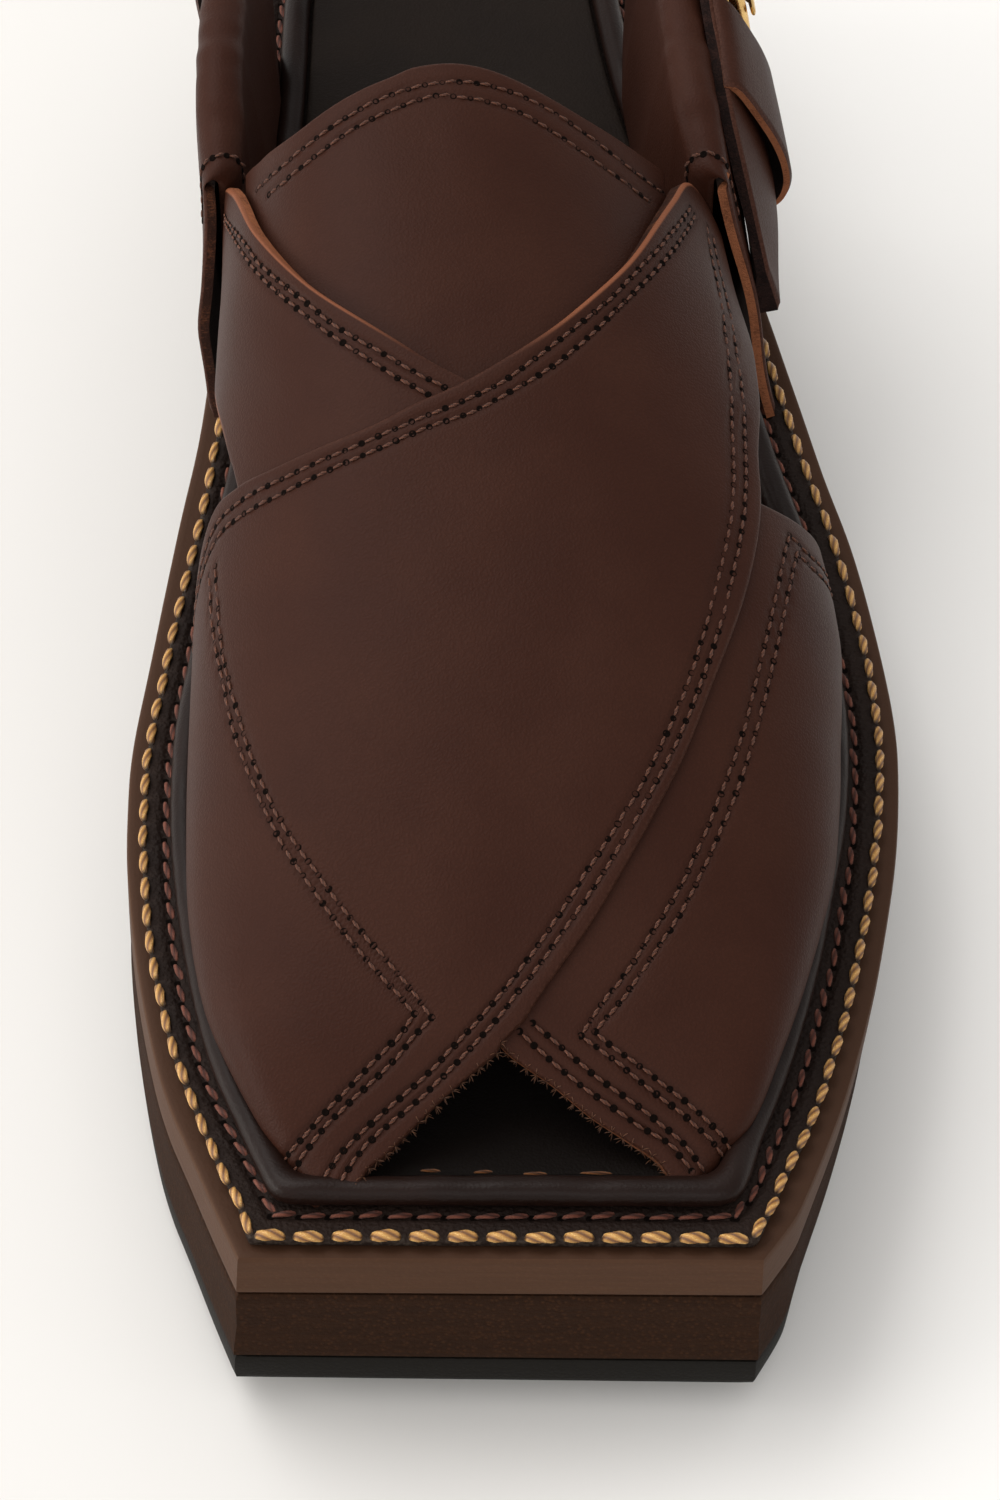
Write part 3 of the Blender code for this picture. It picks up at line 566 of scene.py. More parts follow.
print("the groups to use:", ", ".join(g.name for g in bpy.data.node_groups))

# %% [markdown]
# ### The leathers
# The straps are vegetable-tanned leather, dyed brown and waxed: satin, darker in its pores, and lighter
# and drier where edges rub. The mark `edge` is the distance to a cut edge and `seam` is 1 on a line of
# stitching. On the wings of the straps the dye stops short of the cut, so a thin undyed rim shows.

# %% Mix the leathers
def bare_rim(tree, edge, behind, inside):
    """The rim of an undyed cut, which shows only behind that Y and inside that X, in metres."""
    place = maths(tree, "MULTIPLY", spread(tree, axis_of(tree, "Y"), behind, behind + 0.012),
                  spread(tree, axis_of(tree, "X"), inside, inside - 0.003))
    return maths(tree, "MULTIPLY", place, spread(tree, edge, 1.1, 0.6))


def leather_finish(name, colour, shade, worn, pores, creases, depth, rough, scale=2600.0, specular=0.2,
                   bare=None):
    """A dyed leather: its colour, the colour in its pores, and the colour where edges rub. Bare is the
    colour of an undyed cut and where its rim shows."""
    finish, tree, shader = new_finish(name, rough, specular)
    grain = group_node(tree, LEATHER_GRAIN, {"Pore Scale": scale, "Pores": pores, "Creases": creases})
    edge, seam = mark_of(tree, "edge"), mark_of(tree, "seam")
    base = mixed(tree, spread(tree, grain.outputs["Cloud"], 0.3, 0.7), shade, colour)
    pore = maths(tree, "MULTIPLY", grain.outputs["Pore Mask"], 0.35)
    base = mixed(tree, pore, base, [0.55 * c for c in colour])
    rub = maths(tree, "MULTIPLY", spread(tree, edge, 0.9, 0.15), spread(tree, grain.outputs["Height"], -0.6, 0.8))
    base = mixed(tree, maths(tree, "MULTIPLY", rub, 0.7), base, worn)
    if bare:
        base = mixed(tree, bare_rim(tree, edge, *bare[1:]), base, bare[0])
    base = mixed(tree, maths(tree, "MULTIPLY", seam, 0.42), base, [0.35 * c for c in colour])
    tree.links.new(base, shader.inputs["Base Color"])
    gloss = maths(tree, "ADD", maths(tree, "MULTIPLY", grain.outputs["Cloud"], 0.16), rough - 0.08)
    tree.links.new(maths(tree, "ADD", gloss, maths(tree, "MULTIPLY", grain.outputs["Pore Mask"], 0.06)),
                   shader.inputs["Roughness"])
    dip = bump(tree, shader, maths(tree, "MULTIPLY", seam, -1.0), 0.00025, 0.8)
    bump(tree, shader, grain.outputs["Height"], depth, 1.0, dip)
    return finish


STRAP_DYE = ((0.0445, 0.0152, 0.0090), (0.0365, 0.0116, 0.0068), (0.09, 0.038, 0.025),
             0.6, 0.03, 0.00005, 0.44, 3000.0, 0.08)
VAMP_LEATHER = leather_finish("vamp_leather", *STRAP_DYE)
STRAP_LEATHER = leather_finish("strap_leather", *STRAP_DYE, ((0.205, 0.072, 0.035), -0.030, 0.0290))
LINING = leather_finish("strap_lining", (0.020, 0.012, 0.010), (0.015, 0.010, 0.008),
                        (0.06, 0.03, 0.02), 0.8, 0.3, 0.0001, 0.7)
CORD_LEATHER = leather_finish("rolled_cord_leather", (0.0145, 0.0062, 0.0044), (0.0105, 0.0046, 0.0033),
                              (0.04, 0.02, 0.014), 0.4, 0.04, 0.00005, 0.33, 2600.0, 0.15)
WELT_LEATHER = leather_finish("welt_leather", (0.020, 0.0110, 0.0080), (0.014, 0.008, 0.0062),
                              (0.06, 0.045, 0.035), 0.9, 0.6, 0.00016, 0.58, 1700.0, 0.12)
FOOTBED_LEATHER = leather_finish("footbed_leather", (0.0180, 0.0125, 0.0098), (0.0140, 0.0098, 0.0080),
                                 (0.04, 0.03, 0.025), 0.5, 0.25, 0.00008, 0.55, 2600.0, 0.07)
print("the leather of the straps has", len(STRAP_LEATHER.node_tree.nodes), "nodes")

# %% [markdown]
# ### The cut edges
# Where leather is cut its fibres show, from orange brown to dark brown by how much dye the edge took. The heel
# strap's edge is nearly black as painted shade, for the shade between the strap and the quarter. Balance says how
# much of it is dark.

# %% Mix the cut edges
def cut_edge_finish(name, dark, light, balance):
    finish, tree, shader = new_finish(name, 0.85, 0.1)
    fibres = group_node(tree, FIBRES, {"Scale": 1700.0})
    share = spread(tree, fibres.outputs["Share"], balance - 0.14, balance + 0.14)
    tree.links.new(mixed(tree, share, dark, light), shader.inputs["Base Color"])
    bump(tree, shader, fibres.outputs["Height"], 0.00035)
    return finish


TAN_EDGE = cut_edge_finish("tan_cut_edge", (0.085, 0.028, 0.014), (0.29, 0.105, 0.048), 0.42)
# The heel strap's cut edge is painted shade: nearly black, for the shade beside the quarter.
STRAP_EDGE_SHADE = cut_edge_finish("strap_cut_edge_shade", (0.008, 0.004, 0.0035), (0.030, 0.013, 0.010), 0.55)
DARK_EDGE = cut_edge_finish("dark_cut_edge", (0.030, 0.012, 0.008), (0.17, 0.060, 0.028), 0.60)
print("cut edges:", TAN_EDGE.name, STRAP_EDGE_SHADE.name, DARK_EDGE.name)

# %% [markdown]
# ### The footbed under the toes
# The footbed lies in deep shade under the straps, so its colour is blended to a darker one towards the toe: this
# darkening is painted shade.

# %% Darken the footbed ahead
def paint_shade_ahead(finish, dark, near, far):
    """Darkens a finish towards the toe as painted shade, from where Y is near to where it is far, in metres."""
    tree = finish.node_tree
    shader = next(n for n in tree.nodes if n.type == "BSDF_PRINCIPLED")
    base = shader.inputs["Base Color"].links[0].from_socket
    # The darker colour blended in here is painted shade.
    dyed = mixed(tree, spread(tree, axis_of(tree, "Y"), near, far), base, dark)
    tree.links.new(dyed, shader.inputs["Base Color"])


# The darker colour towards the toe is painted shade under the straps.
paint_shade_ahead(FOOTBED_LEATHER, (0.0040, 0.0024, 0.0018), -0.080, -0.108)
print("the footbed finish now has", len(FOOTBED_LEATHER.node_tree.nodes), "nodes")

# %% [markdown]
# ### Board, foam and rubber
# The edge of the sole is a dyed board over foam over rubber. The ledge of the board beside the welt is darker as
# painted shade, so that finish reads which way a face looks.

# %% Mix the finishes of the sole
def sole_finish(name, colour, speck, rough, depth, scale, streaks, share, specular=0.12, upper=None):
    """A layer of the sole. Its upward faces may take a darker colour as painted shade, as the ledge beside the
    welt does.
    """
    finish, tree, shader = new_finish(name, rough, specular)
    surface = group_node(tree, SPECKLE, {"Scale": scale, "Streaks": streaks})
    base = mixed(tree, maths(tree, "MULTIPLY", surface.outputs["Specks"], share), colour, speck)
    toned = mixed(tree, spread(tree, surface.outputs["Streak"], 0.35, 0.65, 0.0, 0.5), base,
                  [0.72 * c for c in colour])
    # Upper is a painted shade colour for the faces that look up.
    if upper:
        facing = node(tree, "ShaderNodeNewGeometry").outputs["Normal"]
        facing = node(tree, "ShaderNodeSeparateXYZ", {0: facing}).outputs["Z"]
        toned = mixed(tree, spread(tree, facing, 0.55, 0.85), toned, upper)
    tree.links.new(toned, shader.inputs["Base Color"])
    bump(tree, shader, surface.outputs["Height"], depth)
    return finish


# The board's last colour is painted shade on its upward ledge.
SOLE_BOARD = sole_finish("sole_board", (0.083, 0.0385, 0.0200), (0.050, 0.0225, 0.0115), 0.62, 0.00005,
                         1500.0, 1.4, 0.30, 0.12, (0.052, 0.0235, 0.0125))
SOLE_FOAM = sole_finish("sole_foam", (0.046, 0.0185, 0.0078), (0.014, 0.0062, 0.0032), 0.88, 0.00022,
                        1300.0, 0.3, 0.75, 0.1)
SOLE_RUBBER = sole_finish("sole_rubber", (0.0085, 0.0068, 0.0048), (0.0042, 0.0034, 0.0026), 0.66, 0.00010,
                          1800.0, 0.6, 0.4, 0.15)
print("finishes of the sole:", SOLE_BOARD.name, SOLE_FOAM.name, SOLE_RUBBER.name)

# %% [markdown]
# ## The sole, layer by layer
# Four layers are stacked and cemented: a rubber outsole, a foam midsole, a stiff board that the welt is
# sewn to, and a rubber heel block underneath. Each is the outline carried down through a few rows of
# inset and height. The first and last rows are drawn in by a fraction of a millimetre, because a
# trimmed and sanded edge is never quite sharp and catches a thin line of light.

# %% Board, midsole and outsole
def shift_rows(rows, top):
    return [(inset, top + height) for inset, height in rows]


def sole_layers():
    board = layer_piece("sole_board", (
        (14.0, 0.0), (1.2, 0.0), (0.55, -0.02), (0.2, -0.2), (0.02, -0.6), (0.0, -1.4),
        (0.05, 1.4 - RUNNER_THICK), (0.05, 0.5 - RUNNER_THICK), (0.35, -RUNNER_THICK)), [SOLE_BOARD])
    stands_for(board, "runner_board", "runner")
    top = -RUNNER_THICK - LAYER_GAP
    foam = layer_piece("sole_foam", shift_rows((
        (0.9, 0.0), (0.35, -0.15), (0.15, -0.6), (0.1, -2.0), (0.3, -MIDSOLE_THICK / 2),
        (0.15, 1.6 - MIDSOLE_THICK), (0.2, 0.5 - MIDSOLE_THICK), (0.6, -MIDSOLE_THICK)), top), [SOLE_FOAM])
    stands_for(foam, "foam", "midsole")
    top -= MIDSOLE_THICK + LAYER_GAP
    rubber = layer_piece("outsole_rubber", shift_rows((
        (1.0, 0.0), (0.6, -0.12), (0.45, -0.5), (0.45, -2.4), (0.6, 1.4 - OUTSOLE_THICK),
        (0.85, 0.55 - OUTSOLE_THICK), (1.7, -OUTSOLE_THICK), (8.0, -OUTSOLE_THICK)), top), [SOLE_RUBBER])
    stands_for(rubber, "rubber", "outsole")


sole_layers()

# %% [markdown]
# ## The welt
# The welt is a flat strip of black leather sewn all round on top of the board. It carries two rows of
# stitches: a thick golden one at its edge and a brown one in a groove inside it. Each golden stitch
# presses the leather down and lets it swell up between two stitches, so the strip is given eight
# sections for every stitch and its surface follows them.

# %% Tables of the welt
FRONT_STITCHES = 13
SIDE_STITCHES = 126
SECTIONS = 8
# Along the outer side of the toe the golden stitches are set closer together than round the rest
CLOSE_SIDE_UNTIL = 120.0
CLOSE_STITCH = 4.50
GOLD_INSET = 2.9
BROWN_INSET = 5.9
WELT_TOP = LAYER_GAP + 1.7
WELT_PROFILE = (
    # inset, height, how much it follows the golden stitches
    (20.0, 0.3, 0.0), (2.75, 0.3, 0.0), (2.6, 0.9, 0.3), (2.6, 1.3, 0.7), (2.7, 1.60, 1.0),
    (2.95, 1.80, 1.2), (3.3, 1.92, 1.2), (3.75, 2.02, 0.9), (4.25, 2.06, 0.35), (4.8, 2.04, 0.1),
    (5.2, 1.93, 0.0), (5.5, 1.68, 0.0), (5.9, 1.52, 0.0), (6.3, 1.66, 0.0), (6.65, 1.92, 0.0),
    (7.1, 2.03, 0.0), (8.2, 2.0, 0.0), (20.0, 2.0, 0.0),
)
# Where hand sewing has put each row: inset from the edge of the sole at S, on each side
GOLD_MEDIAL = smooth_table((
    (2.6, 2.15), (10, 3.0), (18, 2.75), (27, 2.95), (38, 2.7), (57, 2.3), (76, 2.6), (94, 2.75),
    (117, 3.0), (139, 3.5), (151, 3.2), (180, 2.9)))
GOLD_LATERAL = smooth_table((
    (2.6, 2.15), (11, 3.6), (25, 3.2), (76, 3.1), (100, 2.95), (111, 2.85), (140, 3.1), (180, 2.9)))
BROWN_MEDIAL = smooth_table(((3, 5.9), (12, 6.1), (25, 5.6), (50, 5.05), (76, 5.4), (140, 5.6), (180, 5.9)))
BROWN_LATERAL = smooth_table(((3, 5.9), (12, 6.2), (140, 6.2), (180, 5.9)))
SWELL = 0.26
PRESSED = 0.20
PINCH = 0.30
PINCH_REACH = 0.09
print("golden stitches:", FRONT_STITCHES, "across the front, about", SIDE_STITCHES, "round the side")

# %% [markdown]
# ### The lines of the welt
# Hand sewing wanders, so each row has its own table and the leather near it is carried along. The phase
# says how far a place is along its stitch. At the outer side of the toe the stitches are closer, so it is
# counted apart there.

# %% Lines of the welt
def welt_line(inset, front=FRONT_STITCHES * SECTIONS, side=SIDE_STITCHES * SECTIONS):
    """A line of the welt, carried along with the golden or the brown row, whichever is nearer."""
    ring = inset_line(inset, 0.0, front, side)
    if inset > 8.5:
        return ring
    gold = table_inset(ring, GOLD_MEDIAL, GOLD_LATERAL) - GOLD_INSET
    brown = table_inset(ring, BROWN_MEDIAL, BROWN_LATERAL) - BROWN_INSET
    return moved_in(ring, (gold * np.interp(inset, (3.4, 5.0), (1, 0))
                           + brown * np.interp(inset, (3.4, 5.0, 7.1, 8.5), (0, 1, 1, 0))))


def side_split(ring):
    """Where the side of the ring changes between close and wide stitches, and which end is the close one."""
    start = FRONT_STITCHES * SECTIONS // 2
    side = ring[start : len(ring) - start + 1]
    close = (side[:, 0] > 0) & (side[:, 1] < CLOSE_SIDE_UNTIL)
    first = bool(close[1])
    return start + (int(np.argmin(close)) if first else len(side) - int(np.argmin(close[::-1]))), first


def stitch_phase(ring):
    """How far along its golden stitch each section of the welt is, from 0 at one hole to 1 at the next."""
    count = len(ring)
    closed = np.vstack([ring, ring[:1]])
    step = np.linalg.norm(np.diff(closed, axis=0), axis=1)
    split, close_first = side_split(ring)
    start = FRONT_STITCHES * SECTIONS // 2
    phase = ((np.arange(count) + start) % SECTIONS) / SECTIONS
    for low, high, is_close in ((start, split, close_first), (split, count - start, not close_first)):
        along = np.r_[0, np.cumsum(step[low : high])]
        whole = round(along[-1] / CLOSE_STITCH) if is_close else round((high - low) / SECTIONS)
        phase[low:high] = (along[:-1] / along[-1] * whole) % 1.0
    return phase


print("sections round the welt:", len(welt_line(GOLD_INSET)))

# %% [markdown]
# ### Lay the strip
# One closed profile is carried round the shoe. It rises between two stitches and is pinched at each hole,
# as much as the last number of each of its rows says.

# %% Lay the welt
def welt_piece():
    points = []
    phase = stitch_phase(welt_line(GOLD_INSET))
    swell = np.cos(2 * np.pi * phase) * 0.5 + 0.5
    pinch = np.exp(-((np.minimum(phase, 1 - phase)) / PINCH_REACH) ** 2)
    for inset, height, follow in WELT_PROFILE:
        ring = welt_line(inset)
        points.append(lift(ring, height + follow * (SWELL * swell - PRESSED - PINCH * pinch)))
    count = len(points[0])
    quads = [ring_faces(count, k * count, ((k + 1) % len(points)) * count) for k in range(len(points))]
    edge = np.repeat([abs(row[0] - 2.6) for row in WELT_PROFILE], count)
    piece = make_piece("welt_strip", np.vstack(points), np.vstack(quads), (), [WELT_LEATHER], None,
                       unsewn(edge), 60)
    return stands_for(piece, "black_leather", "welt")


welt_piece()

# %% [markdown]
# ## The rolled cord
# A cord covered in dark leather hides the raw edge of the straps. It is a round profile carried along the
# softened outline, whose thickness and height wander a little, as handwork does.

# %% Roll the cord
CORD_INSET = 9.0
CORD_RADIUS = 2.15
CORD_SIDES = 16
CORD_SOFTEN = 5.0
CORD_MEDIAL = smooth_table(((8, -0.2), (20, -0.4), (180, -0.4), (220, 0.0)))
CORD_LATERAL = smooth_table(((8, -0.2), (20, 1.0), (60, 1.0), (85, 0.6), (180, 0.6), (220, 0.0)))


def rolled_cord():
    around = np.linspace(0, 2 * np.pi, CORD_SIDES + 1)[:-1]
    middle = WELT_TOP + 0.3 + CORD_RADIUS
    points = []
    for t in around:
        ring = inset_line(CORD_INSET + CORD_RADIUS * np.cos(t), CORD_SOFTEN, 60, 560)
        ring = moved_in(ring, table_inset(ring, CORD_MEDIAL, CORD_LATERAL))
        along = np.arange(len(ring)) / len(ring) * 2 * np.pi
        wander = 0.07 * np.sin(17 * along + 1.3) + 0.05 * np.sin(41 * along) + 0.04 * np.sin(73 * along + 2)
        points.append(lift(ring, middle + (CORD_RADIUS + wander - 0.06) * np.sin(t) + 0.4 * wander))
    count = len(points[0])
    quads = [ring_faces(count, k * count, ((k + 1) % CORD_SIDES) * count) for k in range(CORD_SIDES)]
    far = unsewn(np.full(CORD_SIDES * count, 9.0))
    piece = make_piece("rolled_cord", np.vstack(points), np.vstack(quads), (), [CORD_LEATHER], None, far, 80)
    return stands_for(piece, "dark_leather", "footbed_roll")


rolled_cord()

# %% [markdown]
# ## The footbed
# The footbed is a thin board covered in leather: narrow between the straps, wide behind them where it
# shows, and straight across in front of the toes.

# %% Lay the footbed
FOOTBED_INSET = 17.3
FOOTBED_WIDE = 11.6
FOOTBED_BEHIND = (108.0, 127.0)
FOOTBED_THICK = 2.4
FOOTBED_FRONT = 11.3


def footbed_shape(ring, inset):
    """A ring of the footbed: wide behind the straps, and nearly straight across its front."""
    wide = inset_line(inset - FOOTBED_INSET + FOOTBED_WIDE, 4.0)
    start = np.where(ring[:, 0] < 0, FOOTBED_BEHIND[0], FOOTBED_BEHIND[1])
    share = np.clip((ring[:, 1] - start) / 8, 0, 1)
    share = np.maximum(share, np.clip((30 - ring[:, 1]) / 8, 0, 1))[:, None]
    ring = ring * (1 - share) + wide * share
    ahead = (ring[:, 1] < 24) & (np.abs(ring[:, 0] - 1) < 25)
    ring[ahead, 1] = FOOTBED_FRONT + inset - FOOTBED_INSET + 0.10 * np.sin(ring[ahead, 0] * 0.9)
    return ring


def footbed():
    top = FOOT_LIFT + FOOTBED_THICK
    piece = layer_piece("footbed_sheet", (
        (FOOTBED_INSET + 0.9, top), (FOOTBED_INSET + 0.35, top - 0.1), (FOOTBED_INSET + 0.05, top - 0.4),
        (FOOTBED_INSET, top - 0.9), (FOOTBED_INSET, FOOT_LIFT)), [FOOTBED_LEATHER], 4.0, footbed_shape)
    from_rim = np.repeat([1.2, 0.5, 0.25, 0.1, 0.1], len(piece.data.vertices) // 5)
    rim = piece.data.attributes.new("edge", "FLOAT", "POINT")
    rim.data.foreach_set("value", from_rim.astype(np.float32))
    return stands_for(piece, "black_leather", "insole")


footbed()

# %% [markdown]
# ## The last
# A last is the wooden foot that the straps are pulled over. It is described by a few stations along the
# shoe: how wide it is on each side, how high its crown is, and how square its shoulders are. A point on
# it is named by S and by its share of the girth, 0 at the inner foot line and 1 at the outer one.

# %% Stations of the last
LAST = (
    # S, widest X medial, widest X lateral, X of crown, height of widest line, Z of crown, squareness m, l
    (9.0, -22.4, 23.0, 0.0, 2.2, 6.9, 3.0, 3.0),
    (14.9, -26.3, 27.2, 0.0, 4.4, 8.6, 3.0, 3.0),
    (20.0, -29.5, 31.8, 0.0, 7.0, 12.2, 2.8, 2.8),
    (28.0, -33.6, 35.0, 0.3, 9.6, 17.0, 2.6, 2.5),
    (40.0, -38.1, 39.1, 0.4, 10.8, 22.6, 2.4, 2.3),
    (60.0, -40.8, 44.2, 0.0, 12.0, 31.5, 2.3, 2.15),
    (80.0, -41.3, 46.4, -1.0, 13.0, 39.5, 2.3, 2.1),
    (100.0, -41.2, 47.2, -2.5, 13.5, 46.5, 2.4, 2.05),
    (120.0, -40.8, 44.8, -4.5, 13.0, 53.0, 2.6, 1.95),
    (140.0, -40.4, 40.4, -6.5, 11.0, 59.0, 2.9, 1.88),
    (160.0, -39.7, 35.2, -8.0, 10.0, 64.5, 3.1, 1.85),
    (180.0, -40.0, 32.5, -9.0, 10.0, 68.5, 3.2, 1.85),
)
LAST_TUCK = 4.4
GIRTH_MM = 150.0
NET_S = np.arange(9.0, 176.0, 0.5)
NET_G = np.linspace(0, 1, 601)
LAST_CURVES = [smooth_table(LAST, k) for k in range(1, 8)]


def last_section(s):
    """One section of the last as X and Z at even shares of the girth."""
    medial, lateral, crown, wide, top, square_m, square_l = [float(f(s)) for f in LAST_CURVES]
    foot = float(sole_top(s)) + FOOT_LIFT
    wide = max(wide + float(sole_top(s)), foot + 0.4)
    top = max(top, wide + 0.5)
    turn = np.linspace(-120, 120, 961)
    angle = np.radians(np.clip(np.abs(turn), 0, 90))
    square = np.where(turn < 0, square_m, square_l)
    reach = np.where(turn < 0, crown - medial, lateral - crown) * np.sin(angle) ** (2 / square)
    z = wide + (top - wide) * np.abs(np.cos(angle)) ** (2 / square)
    under = np.clip((np.abs(turn) - 90) / 30, 0, 1)
    z = np.where(under > 0, wide - (wide - foot) * under, z)
    x = crown + np.sign(turn) * (reach - LAST_TUCK * np.sin(under * np.pi / 2) ** 1.6)
    along = np.r_[0, np.cumsum(np.hypot(np.diff(x), np.diff(z)))]
    share = along / along[-1]
    return np.interp(NET_G, share, x), np.interp(NET_G, share, z)


print("points over the last at S 100:", len(last_section(100.0)[0]))

# %% [markdown]
# ### The last as a net
# The stations become a fine net, smoothed a little along the shoe. The direction out is smoothed more
# than the shape, so that a strap standing off it has no ripples.

# %% Build the net of the last
def smoothed(field, width, axis):
    """A field averaged along one axis with a soft bell; its ends are carried on straight."""
    bell = np.hanning(2 * width + 3)[1:-1]
    bell /= bell.sum()
    f = np.moveaxis(field, axis, 0)
    lead = 2 * f[:1] - f[width:0:-1]
    tail = 2 * f[-1:] - f[-2 : -width - 2 : -1]
    wide = np.concatenate([lead, f, tail])
    out = sum(wide[k : k + len(f)] * w for k, w in enumerate(bell))
    return np.moveaxis(out, 0, axis)


def soft_normals(grid, towards, along, across):
    """Unit normals of a grid, averaged along and across it."""
    normal = smoothed(smoothed(grid_normals(grid, towards), along, 0), across, 1)
    return normal / np.linalg.norm(normal, axis=2)[..., None]


def last_net():
    rows = [last_section(s) for s in NET_S]
    x = smoothed(smoothed(np.array([r[0] for r in rows]), 12, 0), 5, 1)
    z = smoothed(smoothed(np.array([r[1] for r in rows]), 12, 0), 5, 1)
    net = np.stack([x, np.repeat(NET_S[:, None], len(NET_G), 1), z], -1)
    return net, soft_normals(net, np.array([0.0, 0.0, 1.0]), 6, 4)


LAST_NET, LAST_NORMAL = last_net()


def read_net(net, s, g):
    """A net read between its points at S and share of the girth."""
    fs = np.clip((np.asarray(s) - NET_S[0]) / 0.5, 0, len(NET_S) - 1.001)
    fg = np.clip(np.asarray(g) * (len(NET_G) - 1), 0, len(NET_G) - 1.001)
    i, j = fs.astype(int), fg.astype(int)
    u, v = (fs - i)[..., None], (fg - j)[..., None]
    return ((1 - u) * ((1 - v) * net[i, j] + v * net[i, j + 1])
            + u * ((1 - v) * net[i + 1, j] + v * net[i + 1, j + 1]))


def over_last(s, g, offset):
    """Points that stand off the last, never lower than the foot line, and their normals."""
    normal = read_net(LAST_NORMAL, s, g)
    points = read_net(LAST_NET, s, g) + np.asarray(offset)[..., None] * normal
    points[..., 2] = np.maximum(points[..., 2], sole_top(points[..., 1]) + FOOT_LIFT)
    return points, normal


print("last net:", LAST_NET.shape, "crown at S 100:", round(float(read_net(LAST_NET, 100.0, 0.5)[2]), 1))

# %% [markdown]
# ## The patterns of the straps
# A pattern is a flat piece of leather with four sides. On the last each side is a line of S and girth,
# so a strap is a patch between four lines. The top strap starts at the inner toe and crosses to the
# outer instep; the under strap starts at the outer toe and crosses under it. The flap stands behind
# them. Points are set closer together near each side, where the leather's edge is rounded.

# %% Tables of the straps
TOP_FRONT = ((9.6, 0.0), (9.6, 0.05), (9.6, 0.10), (9.6, 0.150))
TOP_MEDIAL = ((9.6, 0.0), (35, 0.0), (60, 0.0), (82, 0.0), (101, 0.0))
TOP_EDGE = (
    (9.6, 0.150), (12.5, 0.201), (15.5, 0.276), (25, 0.466), (27, 0.489), (28.5, 0.509), (31.5, 0.539),
    (43, 0.611), (61.5, 0.673), (76, 0.702), (90, 0.727), (107, 0.748), (118, 0.760), (132, 0.793),
    (148, 0.832), (160, 0.848), (169, 0.845),
)
TOP_BACK = (
    (101, 0.0), (106.5, 0.10), (111.5, 0.194), (110.6, 0.244), (109.3, 0.293), (109.7, 0.345),
    (110.9, 0.386), (113.4, 0.426), (116.7, 0.475), (122.3, 0.530), (128.9, 0.579), (139.8, 0.641),
    (152.2, 0.696), (160.3, 0.731), (167.6, 0.762), (169.4, 0.790), (169, 0.845),
)
UNDER_FRONT = ((9.6, 1.0), (9.8, 0.95), (10.2, 0.915), (10.5, 0.886))
UNDER_LATERAL = ((9.6, 1.0), (40, 1.0), (66, 1.0), (92, 1.0), (120, 1.0))
UNDER_EDGE = (
    (10.5, 0.886), (13.5, 0.823), (16.2, 0.732), (19, 0.642), (22.5, 0.566), (26, 0.499), (30.5, 0.458),
    (36, 0.425), (52, 0.352), (72, 0.290), (92, 0.253), (112.2, 0.234), (119.5, 0.221),
    (126, 0.206), (134, 0.180), (141.5, 0.152), (150, 0.150), (160, 0.148), (171.5, 0.150),
)
UNDER_BACK = (
    (120, 1.0), (116.5, 0.90), (111.5, 0.817), (108.8, 0.753), (108.5, 0.690), (109.5, 0.620),
    (112.2, 0.540), (117.3, 0.474), (122.4, 0.427), (133.6, 0.357), (148.5, 0.301), (158.7, 0.269),
    (164.5, 0.246), (171.6, 0.206), (172.4, 0.185), (171.5, 0.150),
)
FLAP_FRONT = ((88, 0.44), (88, 0.46), (88, 0.48), (88, 0.50))
FLAP_MEDIAL = (
    (88, 0.44), (100, 0.40), (112, 0.36), (126, 0.315), (140, 0.275), (152, 0.245), (163, 0.228), (171.5, 0.226),
)
FLAP_LATERAL = (
    (88, 0.50), (98, 0.55), (110, 0.60), (124, 0.655), (138, 0.705), (150, 0.738), (162, 0.760), (172.3, 0.768),
)
FLAP_TOP = (
    (171.5, 0.226), (168.6, 0.253), (165.4, 0.290), (163.3, 0.353), (167.6, 0.439), (170.1, 0.477),
    (170.7, 0.534), (168.8, 0.615), (168.6, 0.663), (169.9, 0.721), (172.3, 0.768),
)
# How far the lining and the grain side stand off the last
TOP_STRAP = (0.4, 2.9)
UNDER_STRAP = (0.0, 1.8)
FLAP = (-2.5, -0.8)
METRE = (1, GIRTH_MM)
print("top strap sides:", len(TOP_EDGE), "and", len(TOP_BACK), "points")

# %% [markdown]
# ### A patch between four lines
# Opposite sides are joined by straight rules, both ways, and the rules between the corners are taken off
# again. This is called a Coons patch.

# %% Fill a pattern
def close_at_ends(length, count):
    """Shares from 0 to 1 whose first and last steps are a fraction of a millimetre."""
    near = np.array([0, 0.12, 0.28, 0.5, 0.8, 1.2, 1.7])
    middle = np.linspace(near[-1], length - near[-1], count - 2 * len(near) + 2)[1:-1]
    return np.r_[near, middle, length - near[::-1]] / length


def strap_patch(front, side_a, side_b, back, along, across):
    """S and girth over a strap, closer together near its sides."""
    a, b = spline(side_a, 500, METRE), spline(side_b, 500, METRE)
    c, d = spline(front, 500, METRE), spline(back, 500, METRE)
    u = close_at_ends(float(step_lengths(a, METRE).sum()), along)
    table = np.linspace(0, 1, 500)

    def on(line, share):
        return np.stack([np.interp(share, table, line[:, k]) for k in range(2)], -1)

    ua, ub = on(a, u), on(b, u)
    width = np.linalg.norm((ub - ua) * METRE, axis=1)
    v = np.array([close_at_ends(max(w, 5.0), across) for w in width])
    us = u[:, None, None]
    vs = v[..., None]
    ruled = (1 - vs) * ua[:, None] + vs * ub[:, None] + (1 - us) * on(c, v) + us * on(d, v)
    corners = (1 - us) * ((1 - vs) * a[0] + vs * b[0]) + us * ((1 - vs) * a[-1] + vs * b[-1])
    return ruled - corners


